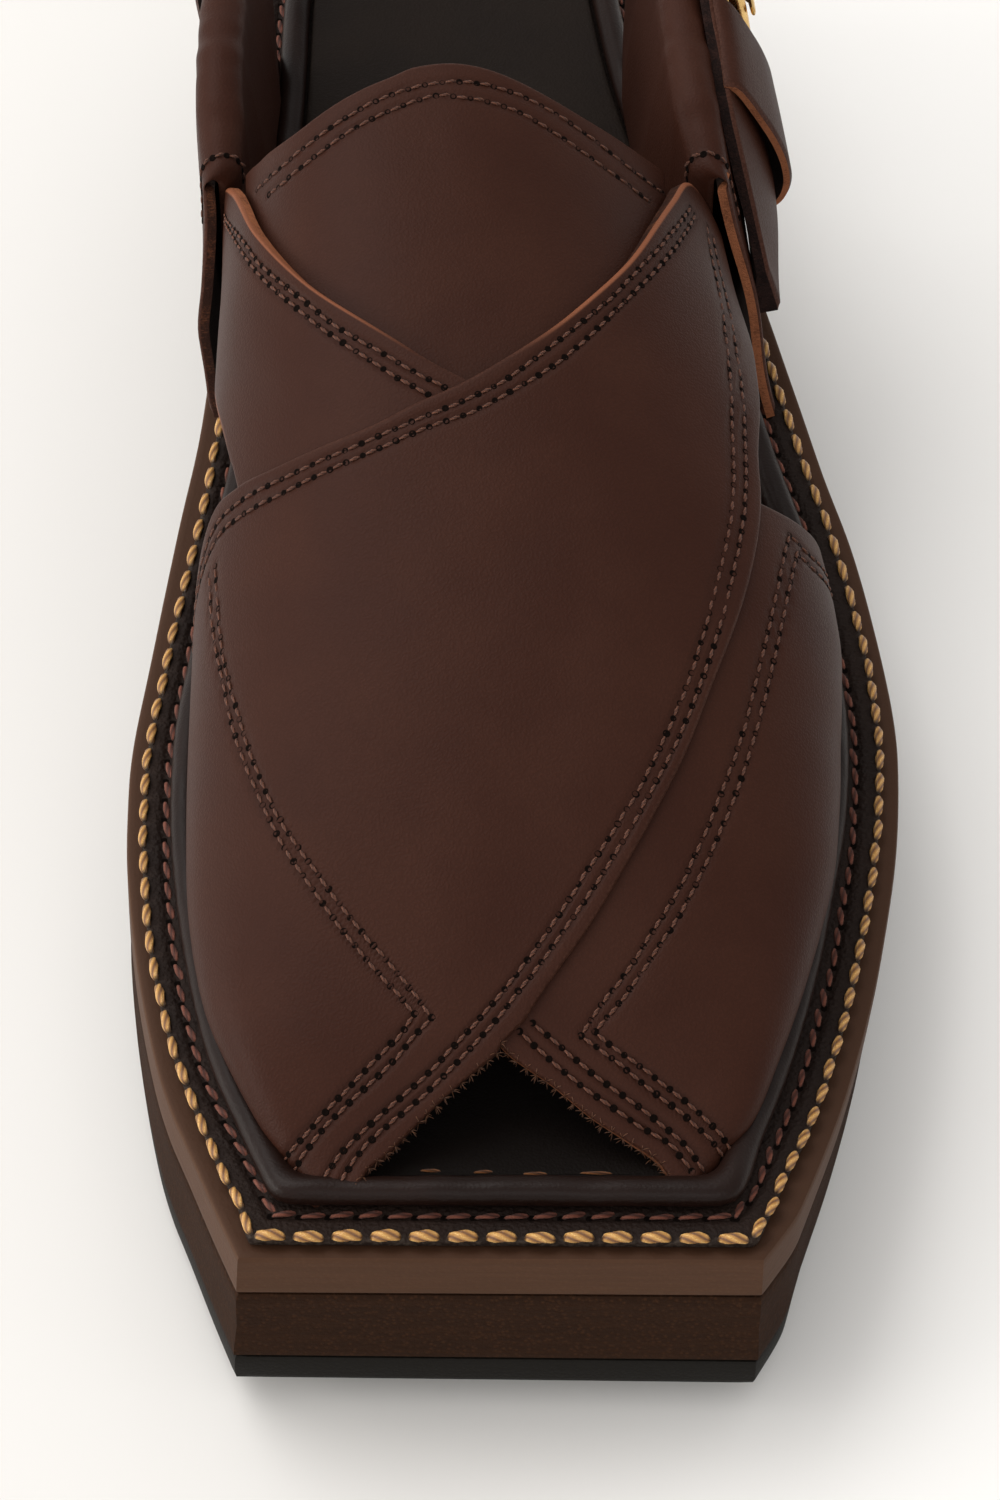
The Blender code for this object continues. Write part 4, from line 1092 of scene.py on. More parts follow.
TOP_PATCH = strap_patch(TOP_FRONT, TOP_MEDIAL, TOP_EDGE, TOP_BACK, 200, 130)
UNDER_PATCH = strap_patch(UNDER_FRONT, UNDER_LATERAL, UNDER_EDGE, UNDER_BACK, 200, 130)
FLAP_PATCH = strap_patch(FLAP_FRONT, FLAP_MEDIAL, FLAP_LATERAL, FLAP_TOP, 120, 90)
print("patches:", TOP_PATCH.shape, UNDER_PATCH.shape, FLAP_PATCH.shape)

# %% [markdown]
# ## Where the seams run
# Two rows of stitches follow every shown edge of the straps, and a second pair turns back in a point on
# each strap: a decoration that also holds the lining. A row is a table of S and girth. Near a row the
# leather is pulled down a little, so the same tables shape the straps and carry the stitches.

# %% Tables of the seams
TOP_SEAMS = (
    ((10, 0.113), (15.5, 0.217), (21, 0.348), (25, 0.422), (29.5, 0.483), (33, 0.516), (36.1, 0.543),
     (43, 0.586), (51.6, 0.625), (62.3, 0.659), (69.4, 0.677), (79.9, 0.696), (91.8, 0.711), (107, 0.728),
     (119, 0.742), (133, 0.762), (149, 0.787), (163, 0.805)),
    ((11.0, 0.092), (15, 0.169), (22, 0.336), (26, 0.409), (30.5, 0.469), (35.4, 0.517), (40.4, 0.552),
     (45.5, 0.579), (55.5, 0.623), (64.3, 0.651), (74.9, 0.675), (86.5, 0.691), (101.4, 0.709),
     (119, 0.727), (133, 0.747), (149, 0.772), (163, 0.791)),
    ((99.5, 0.03), (104.2, 0.11), (108.0, 0.196), (107.6, 0.244), (106.8, 0.293), (107.3, 0.340), (108.3, 0.375),
     (110.2, 0.415), (113.9, 0.477), (118.6, 0.525), (130.4, 0.605), (142.6, 0.668), (154.7, 0.727),
     (162, 0.759)),
    ((97.2, 0.03), (101.8, 0.11), (105.6, 0.198), (105.2, 0.244), (104.6, 0.288), (105.2, 0.330), (106.4, 0.371),
     (107.8, 0.402), (109.8, 0.440), (112.1, 0.481), (118.1, 0.542), (124.4, 0.585), (135, 0.643),
     (144, 0.688), (153.2, 0.731), (161.5, 0.766)),
    ((101.6, 0.189), (92.6, 0.190), (80.8, 0.202), (74.3, 0.208), (66.6, 0.220), (55, 0.245), (44.6, 0.285),
     (38, 0.320), (35, 0.339), (30.5, 0.371)),
    ((30.5, 0.371), (28, 0.341), (23.5, 0.261), (19.5, 0.172), (15.9, 0.085), (14.6, 0.050)),
    ((101.6, 0.201), (88.7, 0.203), (80.8, 0.210), (64.3, 0.233), (54.7, 0.259), (44.5, 0.304), (38.1, 0.342),
     (30, 0.394)),
    ((30, 0.394), (24, 0.301), (17, 0.137), (14, 0.080)),
)
UNDER_SEAMS = (
    ((28.5, 0.518), (26.5, 0.544), (24, 0.584), (21.5, 0.636), (18.1, 0.734), (16, 0.814), (12.5, 0.903)),
    ((29.5, 0.537), (26.3, 0.586), (23, 0.646), (19.2, 0.748), (15.5, 0.859), (13, 0.916)),
    ((28, 0.608), (23, 0.708), (20.5, 0.773), (16.5, 0.893), (15.4, 0.930)),
    ((28.5, 0.628), (27.1, 0.650), (22.5, 0.753), (17.5, 0.894), (16.2, 0.935)),
    ((28, 0.608), (31.5, 0.631), (34.6, 0.652), (38.1, 0.670), (48.5, 0.706), (67.4, 0.738), (81.1, 0.752),
     (90.1, 0.762), (100, 0.775), (106.6, 0.790)),
    ((28.5, 0.628), (33, 0.663), (40, 0.697), (47, 0.719), (62.5, 0.746), (78, 0.763), (90, 0.775),
     (99, 0.787), (105, 0.801)),
    ((168.8, 0.191), (153.3, 0.265), (141.7, 0.307), (129.5, 0.357), (125.6, 0.377), (119.5, 0.420),
     (115.9, 0.453), (108, 0.53)),
    ((167.3, 0.193), (154, 0.254), (138.6, 0.310), (127.1, 0.357), (118.6, 0.407), (114.9, 0.438), (106, 0.51)),
    ((106.4, 0.790), (106.4, 0.820), (109.4, 0.872), (113.0, 0.925)),
    ((104.0, 0.801), (104.4, 0.828), (107.0, 0.875), (110.4, 0.925)),
)
FLAP_SEAMS = (
    ((161.7, 0.271), (160.2, 0.294), (159.1, 0.333), (160.4, 0.380), (165, 0.453), (166.9, 0.500),
     (167.1, 0.565), (164.7, 0.668), (165, 0.724), (166.5, 0.756)),
    ((157, 0.299), (156.3, 0.320), (157.1, 0.370), (163.7, 0.474), (164.4, 0.507), (163.9, 0.566),
     (162.3, 0.607), (160.8, 0.660), (160.8, 0.714), (161.3, 0.728)),
)
print("rows on the two straps and the flap:", len(TOP_SEAMS), len(UNDER_SEAMS), len(FLAP_SEAMS))

# %% [markdown]
# ### Even lines and the furrow beside them
# Each table becomes a line of even steps. For every point of a strap the nearest line is looked up, and a
# bell says how deep the leather is pulled down there.

# %% Lines of the seams
FURROW = 0.55


def seam_line(table, step=0.4):
    """A seam's table as an even, smooth line of S and girth."""
    rough = spline(table, 200, METRE)
    length = float(step_lengths(rough, METRE).sum())
    return resample(rough, max(int(length / step), 4), METRE)


TOP_LINES = [seam_line(t) for t in TOP_SEAMS]
UNDER_LINES = [seam_line(t) for t in UNDER_SEAMS]
FLAP_LINES = [seam_line(t) for t in FLAP_SEAMS]


def near_seam(patch, lines):
    flat = patch.reshape(-1, 2) * METRE
    nearest = np.full(len(flat), 1e9)
    for line in lines:
        dots = line[::2] * METRE
        for start in range(0, len(flat), 4000):
            part = flat[start : start + 4000]
            away = ((part[:, None] - dots[None]) ** 2).sum(2).min(1)
            nearest[start : start + 4000] = np.minimum(nearest[start : start + 4000], away)
    return np.exp(-nearest / FURROW**2).reshape(patch.shape[:2])


print("points on the seams:", sum(len(line) for line in TOP_LINES + UNDER_LINES + FLAP_LINES))

# %% [markdown]
# ## The creases of worked leather
# Worked leather isn't a perfect surface. Broad soft ridges show where it was pulled over the last, a few shallow
# troughs run where the foot bends it, and it draws in beside the cord at the toe. Each is listed as a place, a
# size and a height, so the light moves over it as it does over real leather.

# %% Table of the creases
CREASES = (
    # S, girth, half length, half width, turn in degrees, height
    (48, 0.44, 34, 10, 10, 0.35), (62, 0.16, 30, 8, -4, -0.30), (84, 0.36, 22, 7, 24, -0.18),
    (74, 0.60, 26, 6, 10, 0.22), (95, 0.52, 16, 5, 40, -0.16), (27, 0.20, 9, 4, -30, 0.20),
    (32, 0.70, 12, 5, 50, 0.25), (44, 0.80, 16, 5, 64, -0.26), (60, 0.86, 20, 6, 74, 0.22),
    (80, 0.84, 18, 5, 80, -0.20), (98, 0.90, 14, 4, 84, 0.18), (140, 0.44, 22, 9, 0, 0.35),
    (128, 0.50, 16, 7, 14, -0.22), (150, 0.58, 14, 7, -18, -0.22), (136, 0.25, 16, 5, -34, 0.25),
    (124, 0.27, 14, 4, -30, -0.22), (150, 0.76, 15, 4, 12, 0.18), (22.5, 0.80, 6, 3, 80, -0.2),
)


def relief(s, g):
    """The height of all creases at S and girth."""
    total = np.zeros(np.shape(s))
    for s0, g0, half_length, half_width, turn, height in CREASES:
        c, d = np.cos(np.radians(turn)), np.sin(np.radians(turn))
        ds, dg = s - s0, (g - g0) * GIRTH_MM
        along, across = c * ds + d * dg, -d * ds + c * dg
        total += height * np.exp(-((along / half_length) ** 2) - (across / half_width) ** 2)
    return total


print("deepest trough:", min(row[-1] for row in CREASES), "mm")

# %% [markdown]
# ## Cut, shape and lay the straps
# A strap stands off the last by its own thickness. Its grain side takes the creases, the furrows and the
# round of the cut, and its lining follows the creases less.

# %% Lay the straps
SEAM_PULL = 0.22
LINING_FOLLOWS = 0.3


def strap_piece(name, patch, stand, lines, finish, corner=0.8):
    """A strap over the last: its grain side with relief, seams and rounded edges, and its lining."""
    s, g = patch[..., 0], patch[..., 1]
    flat = np.dstack([patch * METRE, np.zeros(s.shape)])
    edge = edge_distance(flat)
    seam = near_seam(patch, lines)
    outer, _ = over_last(s, g, stand[1] + relief(s, g) - SEAM_PULL * seam - rounded(edge, corner))
    inner, _ = over_last(s, g, np.full(s.shape, stand[0]) + LINING_FOLLOWS * relief(s, g))
    return sheet_piece(name, outer, inner, finish, {"edge": edge, "seam": seam})


stands_for(strap_piece("top_strap", TOP_PATCH, TOP_STRAP, TOP_LINES, [STRAP_LEATHER, LINING, DARK_EDGE]),
           "vamp_leather", "upper")
stands_for(strap_piece("under_strap", UNDER_PATCH, UNDER_STRAP, UNDER_LINES, [STRAP_LEATHER, LINING, TAN_EDGE]),
           "vamp_leather", "upper")
stands_for(strap_piece("instep_flap", FLAP_PATCH, FLAP, FLAP_LINES, [VAMP_LEATHER, LINING, TAN_EDGE]),
           "vamp_leather", "tongue")

# %% [markdown]
# ## The side wall
# Behind the vamp a quarter stands up on each side, and a strap runs from one to the other round the heel.
# They all lie on one imagined wall: a foot line and an upper line from a table, with a bow between them.

# %% Table of the wall
WALL_TOP = 52.0
WALL = (
    # X and S at the foot, X and S at the height WALL_TOP, from the inner front round the heel
    (-44.8, 140, -42.6, 148), (-42.6, 152, -43.6, 158), (-40.4, 165, -44.3, 170),
    (-38.4, 185, -45.0, 188), (-37.4, 205, -44.9, 207), (-36.7, 225, -43.6, 226),
    (-36.4, 245, -41.2, 245), (-35.0, 261, -38.0, 262), (-30.6, 274.5, -31.6, 274.5),
    (-21.4, 286.0, -21.4, 285.0), (-8.0, 291.0, -8.0, 289.0), (5.4, 286.0, 5.4, 285.0),
    (15.0, 274.5, 15.0, 274.5), (20.6, 261, 21.8, 262), (22.6, 245, 26.0, 245),
    (25.6, 225, 28.6, 226), (30.8, 205, 30.6, 206), (36.2, 185, 31.2, 187),
    (40.9, 165, 31.2, 170), (43.8, 152, 30.9, 158), (47.0, 140, 31.2, 148),
)
WALL_BOW = ((150, 0.5), (165, 1.8), (185, 3.0), (225, 2.4), (262, 1.0), (290, 0.0))
WALL_ROWS = np.array(WALL, float)
WALL_ALONG = np.r_[0, np.cumsum(np.hypot(*np.diff(WALL_ROWS[:, :2], axis=0).T))]
WALL_CURVES = [smooth_table(np.column_stack([WALL_ALONG, WALL_ROWS[:, k]])) for k in range(4)]
wall_bow = smooth_table(WALL_BOW)
HEEL_ROW = 10
print("the wall is", round(float(WALL_ALONG[-1])), "mm along its foot")

# %% [markdown]
# ### Points on the wall
# A point on it is named by how far along the foot it is, by its height, and by how far out it stands.

# %% Points on the wall
def wall_face(a, z):
    xb, sb, xt, st = [f(a) for f in WALL_CURVES]
    foot = sole_top(sb) + FOOT_LIFT
    w = (z - foot) / (WALL_TOP - foot)
    dx = WALL_CURVES[0](a + 0.8) - WALL_CURVES[0](a - 0.8)
    ds = WALL_CURVES[1](a + 0.8) - WALL_CURVES[1](a - 0.8)
    bow = wall_bow(sb) * 4 * np.maximum(w * (1 - w), -0.1) / np.hypot(dx, ds)
    return np.stack([xb + (xt - xb) * w - ds * bow, sb + (st - sb) * w + dx * bow, z + 0 * xb], -1)


def wall_point(a, z, out=0.0):
    """Points of the wall at a along its foot and height z, moved out by out."""
    a, z, out = np.broadcast_arrays(*(np.asarray(v, float) for v in (a, z, out)))
    normal = np.cross(wall_face(a, z + 0.8) - wall_face(a, z - 0.8),
                      wall_face(a + 0.8, z) - wall_face(a - 0.8, z))
    normal /= np.linalg.norm(normal, axis=-1)[..., None]
    return wall_face(a, z) + normal * out[..., None]


def along_of(s, side):
    """Where the wall's foot passes S, on the inner (-1) or outer (+1) side."""
    if side < 0:
        return np.interp(s, WALL_ROWS[: HEEL_ROW + 1, 1], WALL_ALONG[: HEEL_ROW + 1])
    return np.interp(-np.asarray(s), -WALL_ROWS[HEEL_ROW:, 1], WALL_ALONG[HEEL_ROW:])


print("the buckle will sit", round(float(along_of(211.0, 1))), "mm along it")

# %% [markdown]
# ## The quarters
# A quarter's top edge is folded over to the inside, so that nothing sharp touches the foot: from above it
# is a smooth padded roll. Its front edge is left cut, and on the inner side it swells out over the welt.

# %% Tables of the quarters
QUARTER_THICK = 1.8
QUARTER_FRONT = ((4, 156.5), (12, 158), (22, 160.4), (32, 163.2), (42, 166.0), (48, 166.8), (56, 167.5))
QUARTER_BACK = ((10, 234), (25, 231), (40, 229), (56, 229))
quarter_front = smooth_table(QUARTER_FRONT)
quarter_back = smooth_table(QUARTER_BACK)
# How far the lower front of the inner quarter swells out over the welt, by height
FRONT_SWELL = smooth_table(((8.0, 2.0), (12, 2.5), (20, 2.2), (28, 0.5), (34, -0.1), (40, -0.6), (48, -1.0)))
QUARTER_LONG = 78.0
QUARTER_TOP = 48.0
FRONT_DROP = 6.5
LINING_STEPS = 9
print("front edge of a quarter at the welt and at the fold: S", float(quarter_front(4)), float(quarter_front(48)))

# %% [markdown]
# ### The grain side of a quarter
# A row of points runs up the wall, over the fold and down inside as the lining. The fold is half a turn
# of a tube that closes to nothing at the front end.

# %% Shape a quarter
def fold_over(edge, side, from_front, turned):
    """The roll of leather over the top edge, from the last point of the wall to the inside."""
    closed = np.sqrt(1 - np.clip(1 - from_front / 3.4, 0, 1) ** 2)
    width = 2.4 + (2.6 + 2.2 * np.clip((edge[1] - 166) / 14, 0, 1)) * closed
    angle = np.radians(np.linspace(0, 165, turned))[1:]
    wave = 0.25 * np.sin(edge[1] * 0.31 + side) + 0.15 * np.sin(edge[1] * 0.83)
    return np.stack([edge[0] - side * width / 2 * (1 - np.cos(angle)),
                     edge[1] + 0.5 * (1 - np.cos(angle)),
                     edge[2] + (1.6 + (2.0 + 0.5 * wave) * closed) * np.sin(angle)], 1)


def down_inside(edge, end, side):
    """The lining side, from the end of the fold down to the sole; edge is where the wall ended."""
    reach = 3.4 * np.clip((edge[1] - 171) / 22, 0, 1) * np.clip((236 - edge[1]) / 20, 0, 1)
    floor = sole_top(edge[1]) + 4.6 + 10 * np.clip((176 - edge[1]) / 10, 0, 1)
    steps = np.linspace(0, 1, LINING_STEPS + 1)[1:]
    return np.column_stack([
        end[0] - side * reach * np.sin(np.pi / 2 * steps) ** 1.3,
        np.full(LINING_STEPS, end[1] + 0.4) + 0.3 * steps,
        end[2] + (floor - end[2]) * steps])


def quarter_grid(side, columns=110, low=26, turned=22):
    rows = []
    shares = np.linspace(0, 1, low)
    for share in close_at_ends(QUARTER_LONG, columns) ** 1.05:
        from_front = share * QUARTER_LONG
        top = QUARTER_TOP - FRONT_DROP * np.exp(-((from_front / 15) ** 2))
        s0 = (1 - share) * quarter_front(3 + shares * (top - 3)) + share * quarter_back(12 + shares * 36)
        foot = sole_top(s0) + FOOT_LIFT
        z = foot + shares * (top - foot)
        ripple = 0.35 * np.sin(z * 0.27 + 1.0) * np.exp(-from_front / 9)
        swell = FRONT_SWELL(z) * np.exp(-((from_front / 17) ** 2)) if side < 0 else 0.0
        wall = wall_point(along_of(s0, side), z, swell + ripple)
        fold = fold_over(wall[-1], side, from_front, turned)
        rows.append(np.vstack([wall, fold, down_inside(wall[-1], fold[-1], side)]))
    return np.array(rows)


print("the lining of a quarter has", LINING_STEPS, "rows of points")

# %% [markdown]
# ### Both quarters
# The grain side gets its direction out, fine wrinkles and a rounded edge, and the lining lies one
# thickness behind it. The line across the fold is kept for its stitches.

# %% Make the quarters
def quarter(name, side, node_name, cut):
    grid = quarter_grid(side)
    normal = soft_normals(grid, np.array([side, 0.0, 0.0]), 3, 3)
    edge = edge_distance(grid)
    along = grid[..., 1]
    wrinkle = (0.16 * np.sin(along * 0.9 + grid[..., 2] * 0.35) * np.sin(along * 0.23 + 1.0)
               * np.clip((grid[..., 2] - 44) / 6, 0, 1))
    outer = grid + normal * (wrinkle - rounded(edge, 0.6))[..., None]
    piece = sheet_piece(name, outer, grid - normal * QUARTER_THICK, [VAMP_LEATHER, LINING, cut], unsewn(edge))
    stands_for(piece, "vamp_leather", node_name)
    return outer, normal


def fold_seam(grid, normal, back=4.2):
    """A short row of stitches over the fold, a little behind its front end."""
    first = grid[0, 25:50]
    column = int(np.argmin(np.abs(np.linalg.norm(grid[:, 25:50] - first, axis=2).mean(1) - back)))
    return grid[column, 20:48], normal[column, 20:48]


FOLD_SEAMS = [fold_seam(*quarter("inner_quarter", -1, "quarter_medial", DARK_EDGE)),
              fold_seam(*quarter("outer_quarter", 1, "quarter_lateral", TAN_EDGE))]

# %% [markdown]
# ### The heel strap and its keeper
# Both are strips laid along the wall. A table gives the line of the strip: where it is along the foot,
# the height of its middle, half its width, how far it stands off and how much farther its lower edge
# does, because the free end hangs a little loose.

# %% Tables of the heel strap and the keeper
STRAP_THICK = 2.0
STRAP_GAP = 0.4
STRAP_TIP = 18.0
KEEPER_THICK = 1.4
STRAP_MEDIAL = (
    (214, 45, 10.0, 0, 0), (228, 46, 10.0, 0, 0), (245, 47, 10.0, 0, 0), (262, 47.5, 10.0, 0, 0),
)
STRAP_HEEL = (48.0, 10.0, 0, 0)
STRAP_LATERAL = (
    (262, 48.5, 10.0, 0, 0), (245, 49.5, 10.0, 0, 0), (230, 48.8, 10.0, 0.2, 0.3),
    (218, 46.8, 10.0, 0.2, 1.0), (208, 44.2, 10.0, 0.0, 1.8), (198, 41.2, 10.0, -0.2, 2.8),
    (188, 38.6, 9.8, -0.3, 3.8), (184, 37.2, 9.6, -0.3, 3.8), (181, 35.9, 9.2, -0.3, 3.7),
    (175, 32.4, 7.6, -0.2, 3.0), (170, 29.2, 5.6, 0.1, 2.0), (166, 26.6, 4.0, 0.3, 1.2),
    (162.8, 24.8, 3.0, 0.4, 0.7),
)
KEEPER_LINE = (
    (200.5, 40.4, 9.4, 0.5, 0), (195, 38.9, 9.4, 0.4, 0), (189, 37.5, 9.4, 0.2, 0), (183.5, 36.2, 9.4, 0.0, 0),
)
KEEPER_BULGE = (
    # share of the half width, how far it stands out
    (-1.40, 1.7), (-1.34, 4.6), (-1.16, 7.2), (-0.85, 8.4), (-0.45, 8.2), (0, 7.2), (0.4, 6.0),
    (0.75, 5.0), (1.0, 4.2), (1.14, 3.3), (1.22, 1.7),
)
print("the heel strap is", STRAP_THICK, "mm thick and the keeper", KEEPER_THICK)

# %% [markdown]
# ### A strip along the wall
# The middle line becomes a smooth path and a cross section is laid over it, turned upright towards a cut
# end.

# %% Lay a strip along the wall
def strip_grid(line, count, cross, upright=0.0):
    """Points over a strip: cross holds the share of the half width and the height of each row. Its far
    end turns upright over the last stretch of that length; a negative one turns all of it."""
    path = spline(line, count, (1, 1, 0, 0, 0))
    ahead = np.gradient(path[:, :2], axis=0)
    ahead /= np.linalg.norm(ahead, axis=1)[:, None]
    up = np.stack([-ahead[:, 1], ahead[:, 0]], 1)
    left = np.r_[np.cumsum(step_lengths(path[::-1, :2]))[::-1], 0.0]
    turned = np.clip(1 - left / max(upright, 0.01), 0, 1) if upright >= 0 else np.ones(len(path))
    up = up * (1 - turned[:, None]) + np.outer(turned / up[:, 1], (0.0, 1.0))
    share, height = cross[None, :, 0], cross[None, :, 1]
    a = path[:, :1] + up[:, :1] * path[:, 2:3] * share
    z = path[:, 1:2] + up[:, 1:] * path[:, 2:3] * share
    return wall_point(a, z, height + path[:, 3:4] + path[:, 4:5] * (1 - share) / 2)


print("a point on the wall over the inner welt:", wall_point(along_of(220.0, -1), 20.0).round(1).tolist())

# %% [markdown]
# ### The heel strap
# The free end is doubled inwards at its lower edge, so that it lies against the quarter and no light
# shows between them.

# %% Make the heel strap
STRAP_POINTS = 260
STRAP_COLUMNS = 24
ROW_STEP = 1.15
DOUBLED_THICK = 1.25
DOUBLED_FROM_S = 200.0
DOUBLED_OVER = 12.0


def strap_path():
    """The strap's table as places along the wall, from the inner side round the heel."""
    line = [(along_of(s, -1), *rest) for s, *rest in STRAP_MEDIAL]
    line += [(WALL_ALONG[HEEL_ROW], *STRAP_HEEL)]
    return line + [(along_of(s, 1), *rest) for s, *rest in STRAP_LATERAL]


def heel_strap():
    share = close_at_ends(20.0, STRAP_COLUMNS) * 2 - 1
    line = strap_path()
    heights = (np.full(STRAP_COLUMNS, STRAP_GAP + STRAP_THICK), np.full(STRAP_COLUMNS, STRAP_GAP),
               STRAP_GAP - DOUBLED_THICK * (1 - share))
    outer, inner, doubled = [strip_grid(line, STRAP_POINTS, np.column_stack([share, height]), STRAP_TIP)
                             for height in heights]
    edge = edge_distance(outer)
    normal = grid_normals(outer, outer - inner)
    middle = spline(line, STRAP_POINTS, (1, 1, 0, 0, 0))[:, 0]
    near_end = np.clip((middle - along_of(DOUBLED_FROM_S, 1)) / DOUBLED_OVER, 0, 1)
    inner = inner + near_end[:, None, None] * (doubled - inner)
    along = np.cumsum(np.full(outer.shape[:2], ROW_STEP), 0)
    wave = 0.12 * np.sin(along * 0.21) * np.sin(along * 0.067 + 1)
    outer = outer + normal * (wave - rounded(edge, 0.7))[..., None]
    piece = sheet_piece("heel_strap_leather", outer, inner, [VAMP_LEATHER, LINING, STRAP_EDGE_SHADE],
                        unsewn(edge))
    return stands_for(piece, "vamp_leather", "heel_strap")


heel_strap()

# %% [markdown]
# ### The keeper
# The keeper is a wide band round the strap and its free end. It stands well off the wall, so its section
# is a low arch, fuller towards its lower edge.

# %% Make the keeper
def keeper_band():
    line = [(along_of(s, 1), *rest) for s, *rest in KEEPER_LINE]
    bulge = spline(KEEPER_BULGE, 46, (10, 1))
    outer = strip_grid(line, 30, bulge, -1.0)
    normal = grid_normals(outer, np.array([1.0, 0.0, 0.3]))
    edge = edge_distance(outer)
    shaped = outer - normal * rounded(edge, 0.5)[..., None]
    piece = sheet_piece("strap_keeper", shaped, outer - normal * KEEPER_THICK,
                        [VAMP_LEATHER, LINING, TAN_EDGE], unsewn(edge))
    return stands_for(piece, "vamp_leather", "keeper")


keeper_band()

# %% [markdown]
# ## Brass
# The buckle is cast brass, rubbed more than polished. A slow cloud changes its colour, and fine scratches
# that run mostly along the strap change its gloss.

# %% Mix the brass
def brass_finish():
    finish, tree, shader = new_finish("brass", 0.24, 0.5, 1.0)
    where = place_of(tree)
    cloud = noise(tree, 300.0, 4.0, 0.6, where)
    scratches = noise(tree, 2600.0, 3.0, 0.7, node(
        tree, "ShaderNodeMapping", {"Vector": where, "Scale": (1.0, 0.15, 1.0)}).outputs[0])
    tree.links.new(mixed(tree, spread(tree, cloud, 0.35, 0.7), (0.80, 0.54, 0.22), (0.66, 0.42, 0.16)),
                   shader.inputs["Base Color"])
    tree.links.new(spread(tree, scratches, 0.3, 0.7, 0.18, 0.36), shader.inputs["Roughness"])
    bump(tree, shader, scratches, 0.00002)
    return finish


BRASS = brass_finish()
print("brass has", len(BRASS.node_tree.nodes), "nodes")

# %% [markdown]
# ## The buckle's frame
# A bent wire with rounded corners lies on the strap. A round section is carried along a soft rectangle,
# set on the wall so that the frame curves with the shoe.

# %% Bend the frame
BUCKLE_S = 211.0
BUCKLE_Z = 45.0
BUCKLE_LONG = 14.0
BUCKLE_TALL = 25.0
BUCKLE_WIRE = 1.25
BUCKLE_LIFT = 1.3 + STRAP_GAP + STRAP_THICK + 0.35 + BUCKLE_WIRE


def buckle_frame(count=120, round_count=14):
    turn = 2 * np.pi * np.arange(count) / count
    c, s = np.cos(turn), np.sin(turn)
    a0 = along_of(BUCKLE_S, 1)
    line = np.stack([a0 + BUCKLE_LONG / 2 * np.sign(c) * np.abs(c) ** 0.5,
                     BUCKLE_Z + BUCKLE_TALL / 2 * np.sign(s) * np.abs(s) ** 0.5], 1)
    line = resample(np.vstack([line, line[:1]]), count + 1)[:-1]
    away = -inward_of(line)
    t = 2 * np.pi * np.arange(round_count) / round_count
    spot = line[:, None] + away[:, None] * (BUCKLE_WIRE * np.cos(t))[None, :, None]
    points = wall_point(spot[..., 0], spot[..., 1], BUCKLE_LIFT + BUCKLE_WIRE * np.sin(t)[None])
    i, j = np.meshgrid(np.arange(count), np.arange(round_count), indexing="ij")
    up, over = (i + 1) % count, (j + 1) % round_count
    quads = np.stack([i * round_count + j, i * round_count + over,
                      up * round_count + over, up * round_count + j], -1)
    return make_piece("buckle_frame_brass", points.reshape(-1, 3), quads.reshape(-1, 4), (), [BRASS])


stands_for(buckle_frame(), "brass", "buckle_frame")

# %% [markdown]
# ## The prong
# The prong is a flat bar that rises over both bars of the frame and thins to its tip.

# %% Lay the prong
def buckle_prong(count=26, round_count=12):
    reach = np.linspace(-BUCKLE_LONG / 2 - 0.4, BUCKLE_LONG / 2 + 1.4, count)
    over = BUCKLE_LIFT + 2 * BUCKLE_WIRE + 0.15
    rise = over - 0.55 - 1.3 * np.clip(1 - (reach / (BUCKLE_LONG / 2 - 2.4)) ** 2, 0, 1)
    t = 2 * np.pi * np.arange(round_count) / round_count
    thin = np.interp(np.linspace(0, 1, count), (0, 0.06, 0.7, 0.96, 1), (0.4, 1, 1, 0.7, 0.25))[:, None]
    a = along_of(BUCKLE_S, 1) + reach[:, None] + 0 * t
    z = BUCKLE_Z + 0.9 * thin * np.cos(t)
    points = wall_point(a, z, rise[:, None] + 0.55 * thin * np.sin(t))
    quads = [ring_faces(round_count, k * round_count, (k + 1) * round_count) for k in range(count - 1)]
    ends = []
    for start, turned in ((0, True), ((count - 1) * round_count, False)):
        fan = [(start, start + k, start + k + 1) for k in range(1, round_count - 1)]
        ends += [f[::-1] if turned else f for f in fan]
    return make_piece("buckle_prong_brass", points.reshape(-1, 3), np.vstack(quads), ends, [BRASS])


stands_for(buckle_prong(), "brass", "buckle_prong")

# %% [markdown]
# ## The heel block
# The heel is a block of the same rubber as the outsole, flat on the ground, with a slightly hollow
# breast towards the arch. It follows the outline of the sole a little way in.

# %% Heel block
HEEL_BREAST_S = 212.0


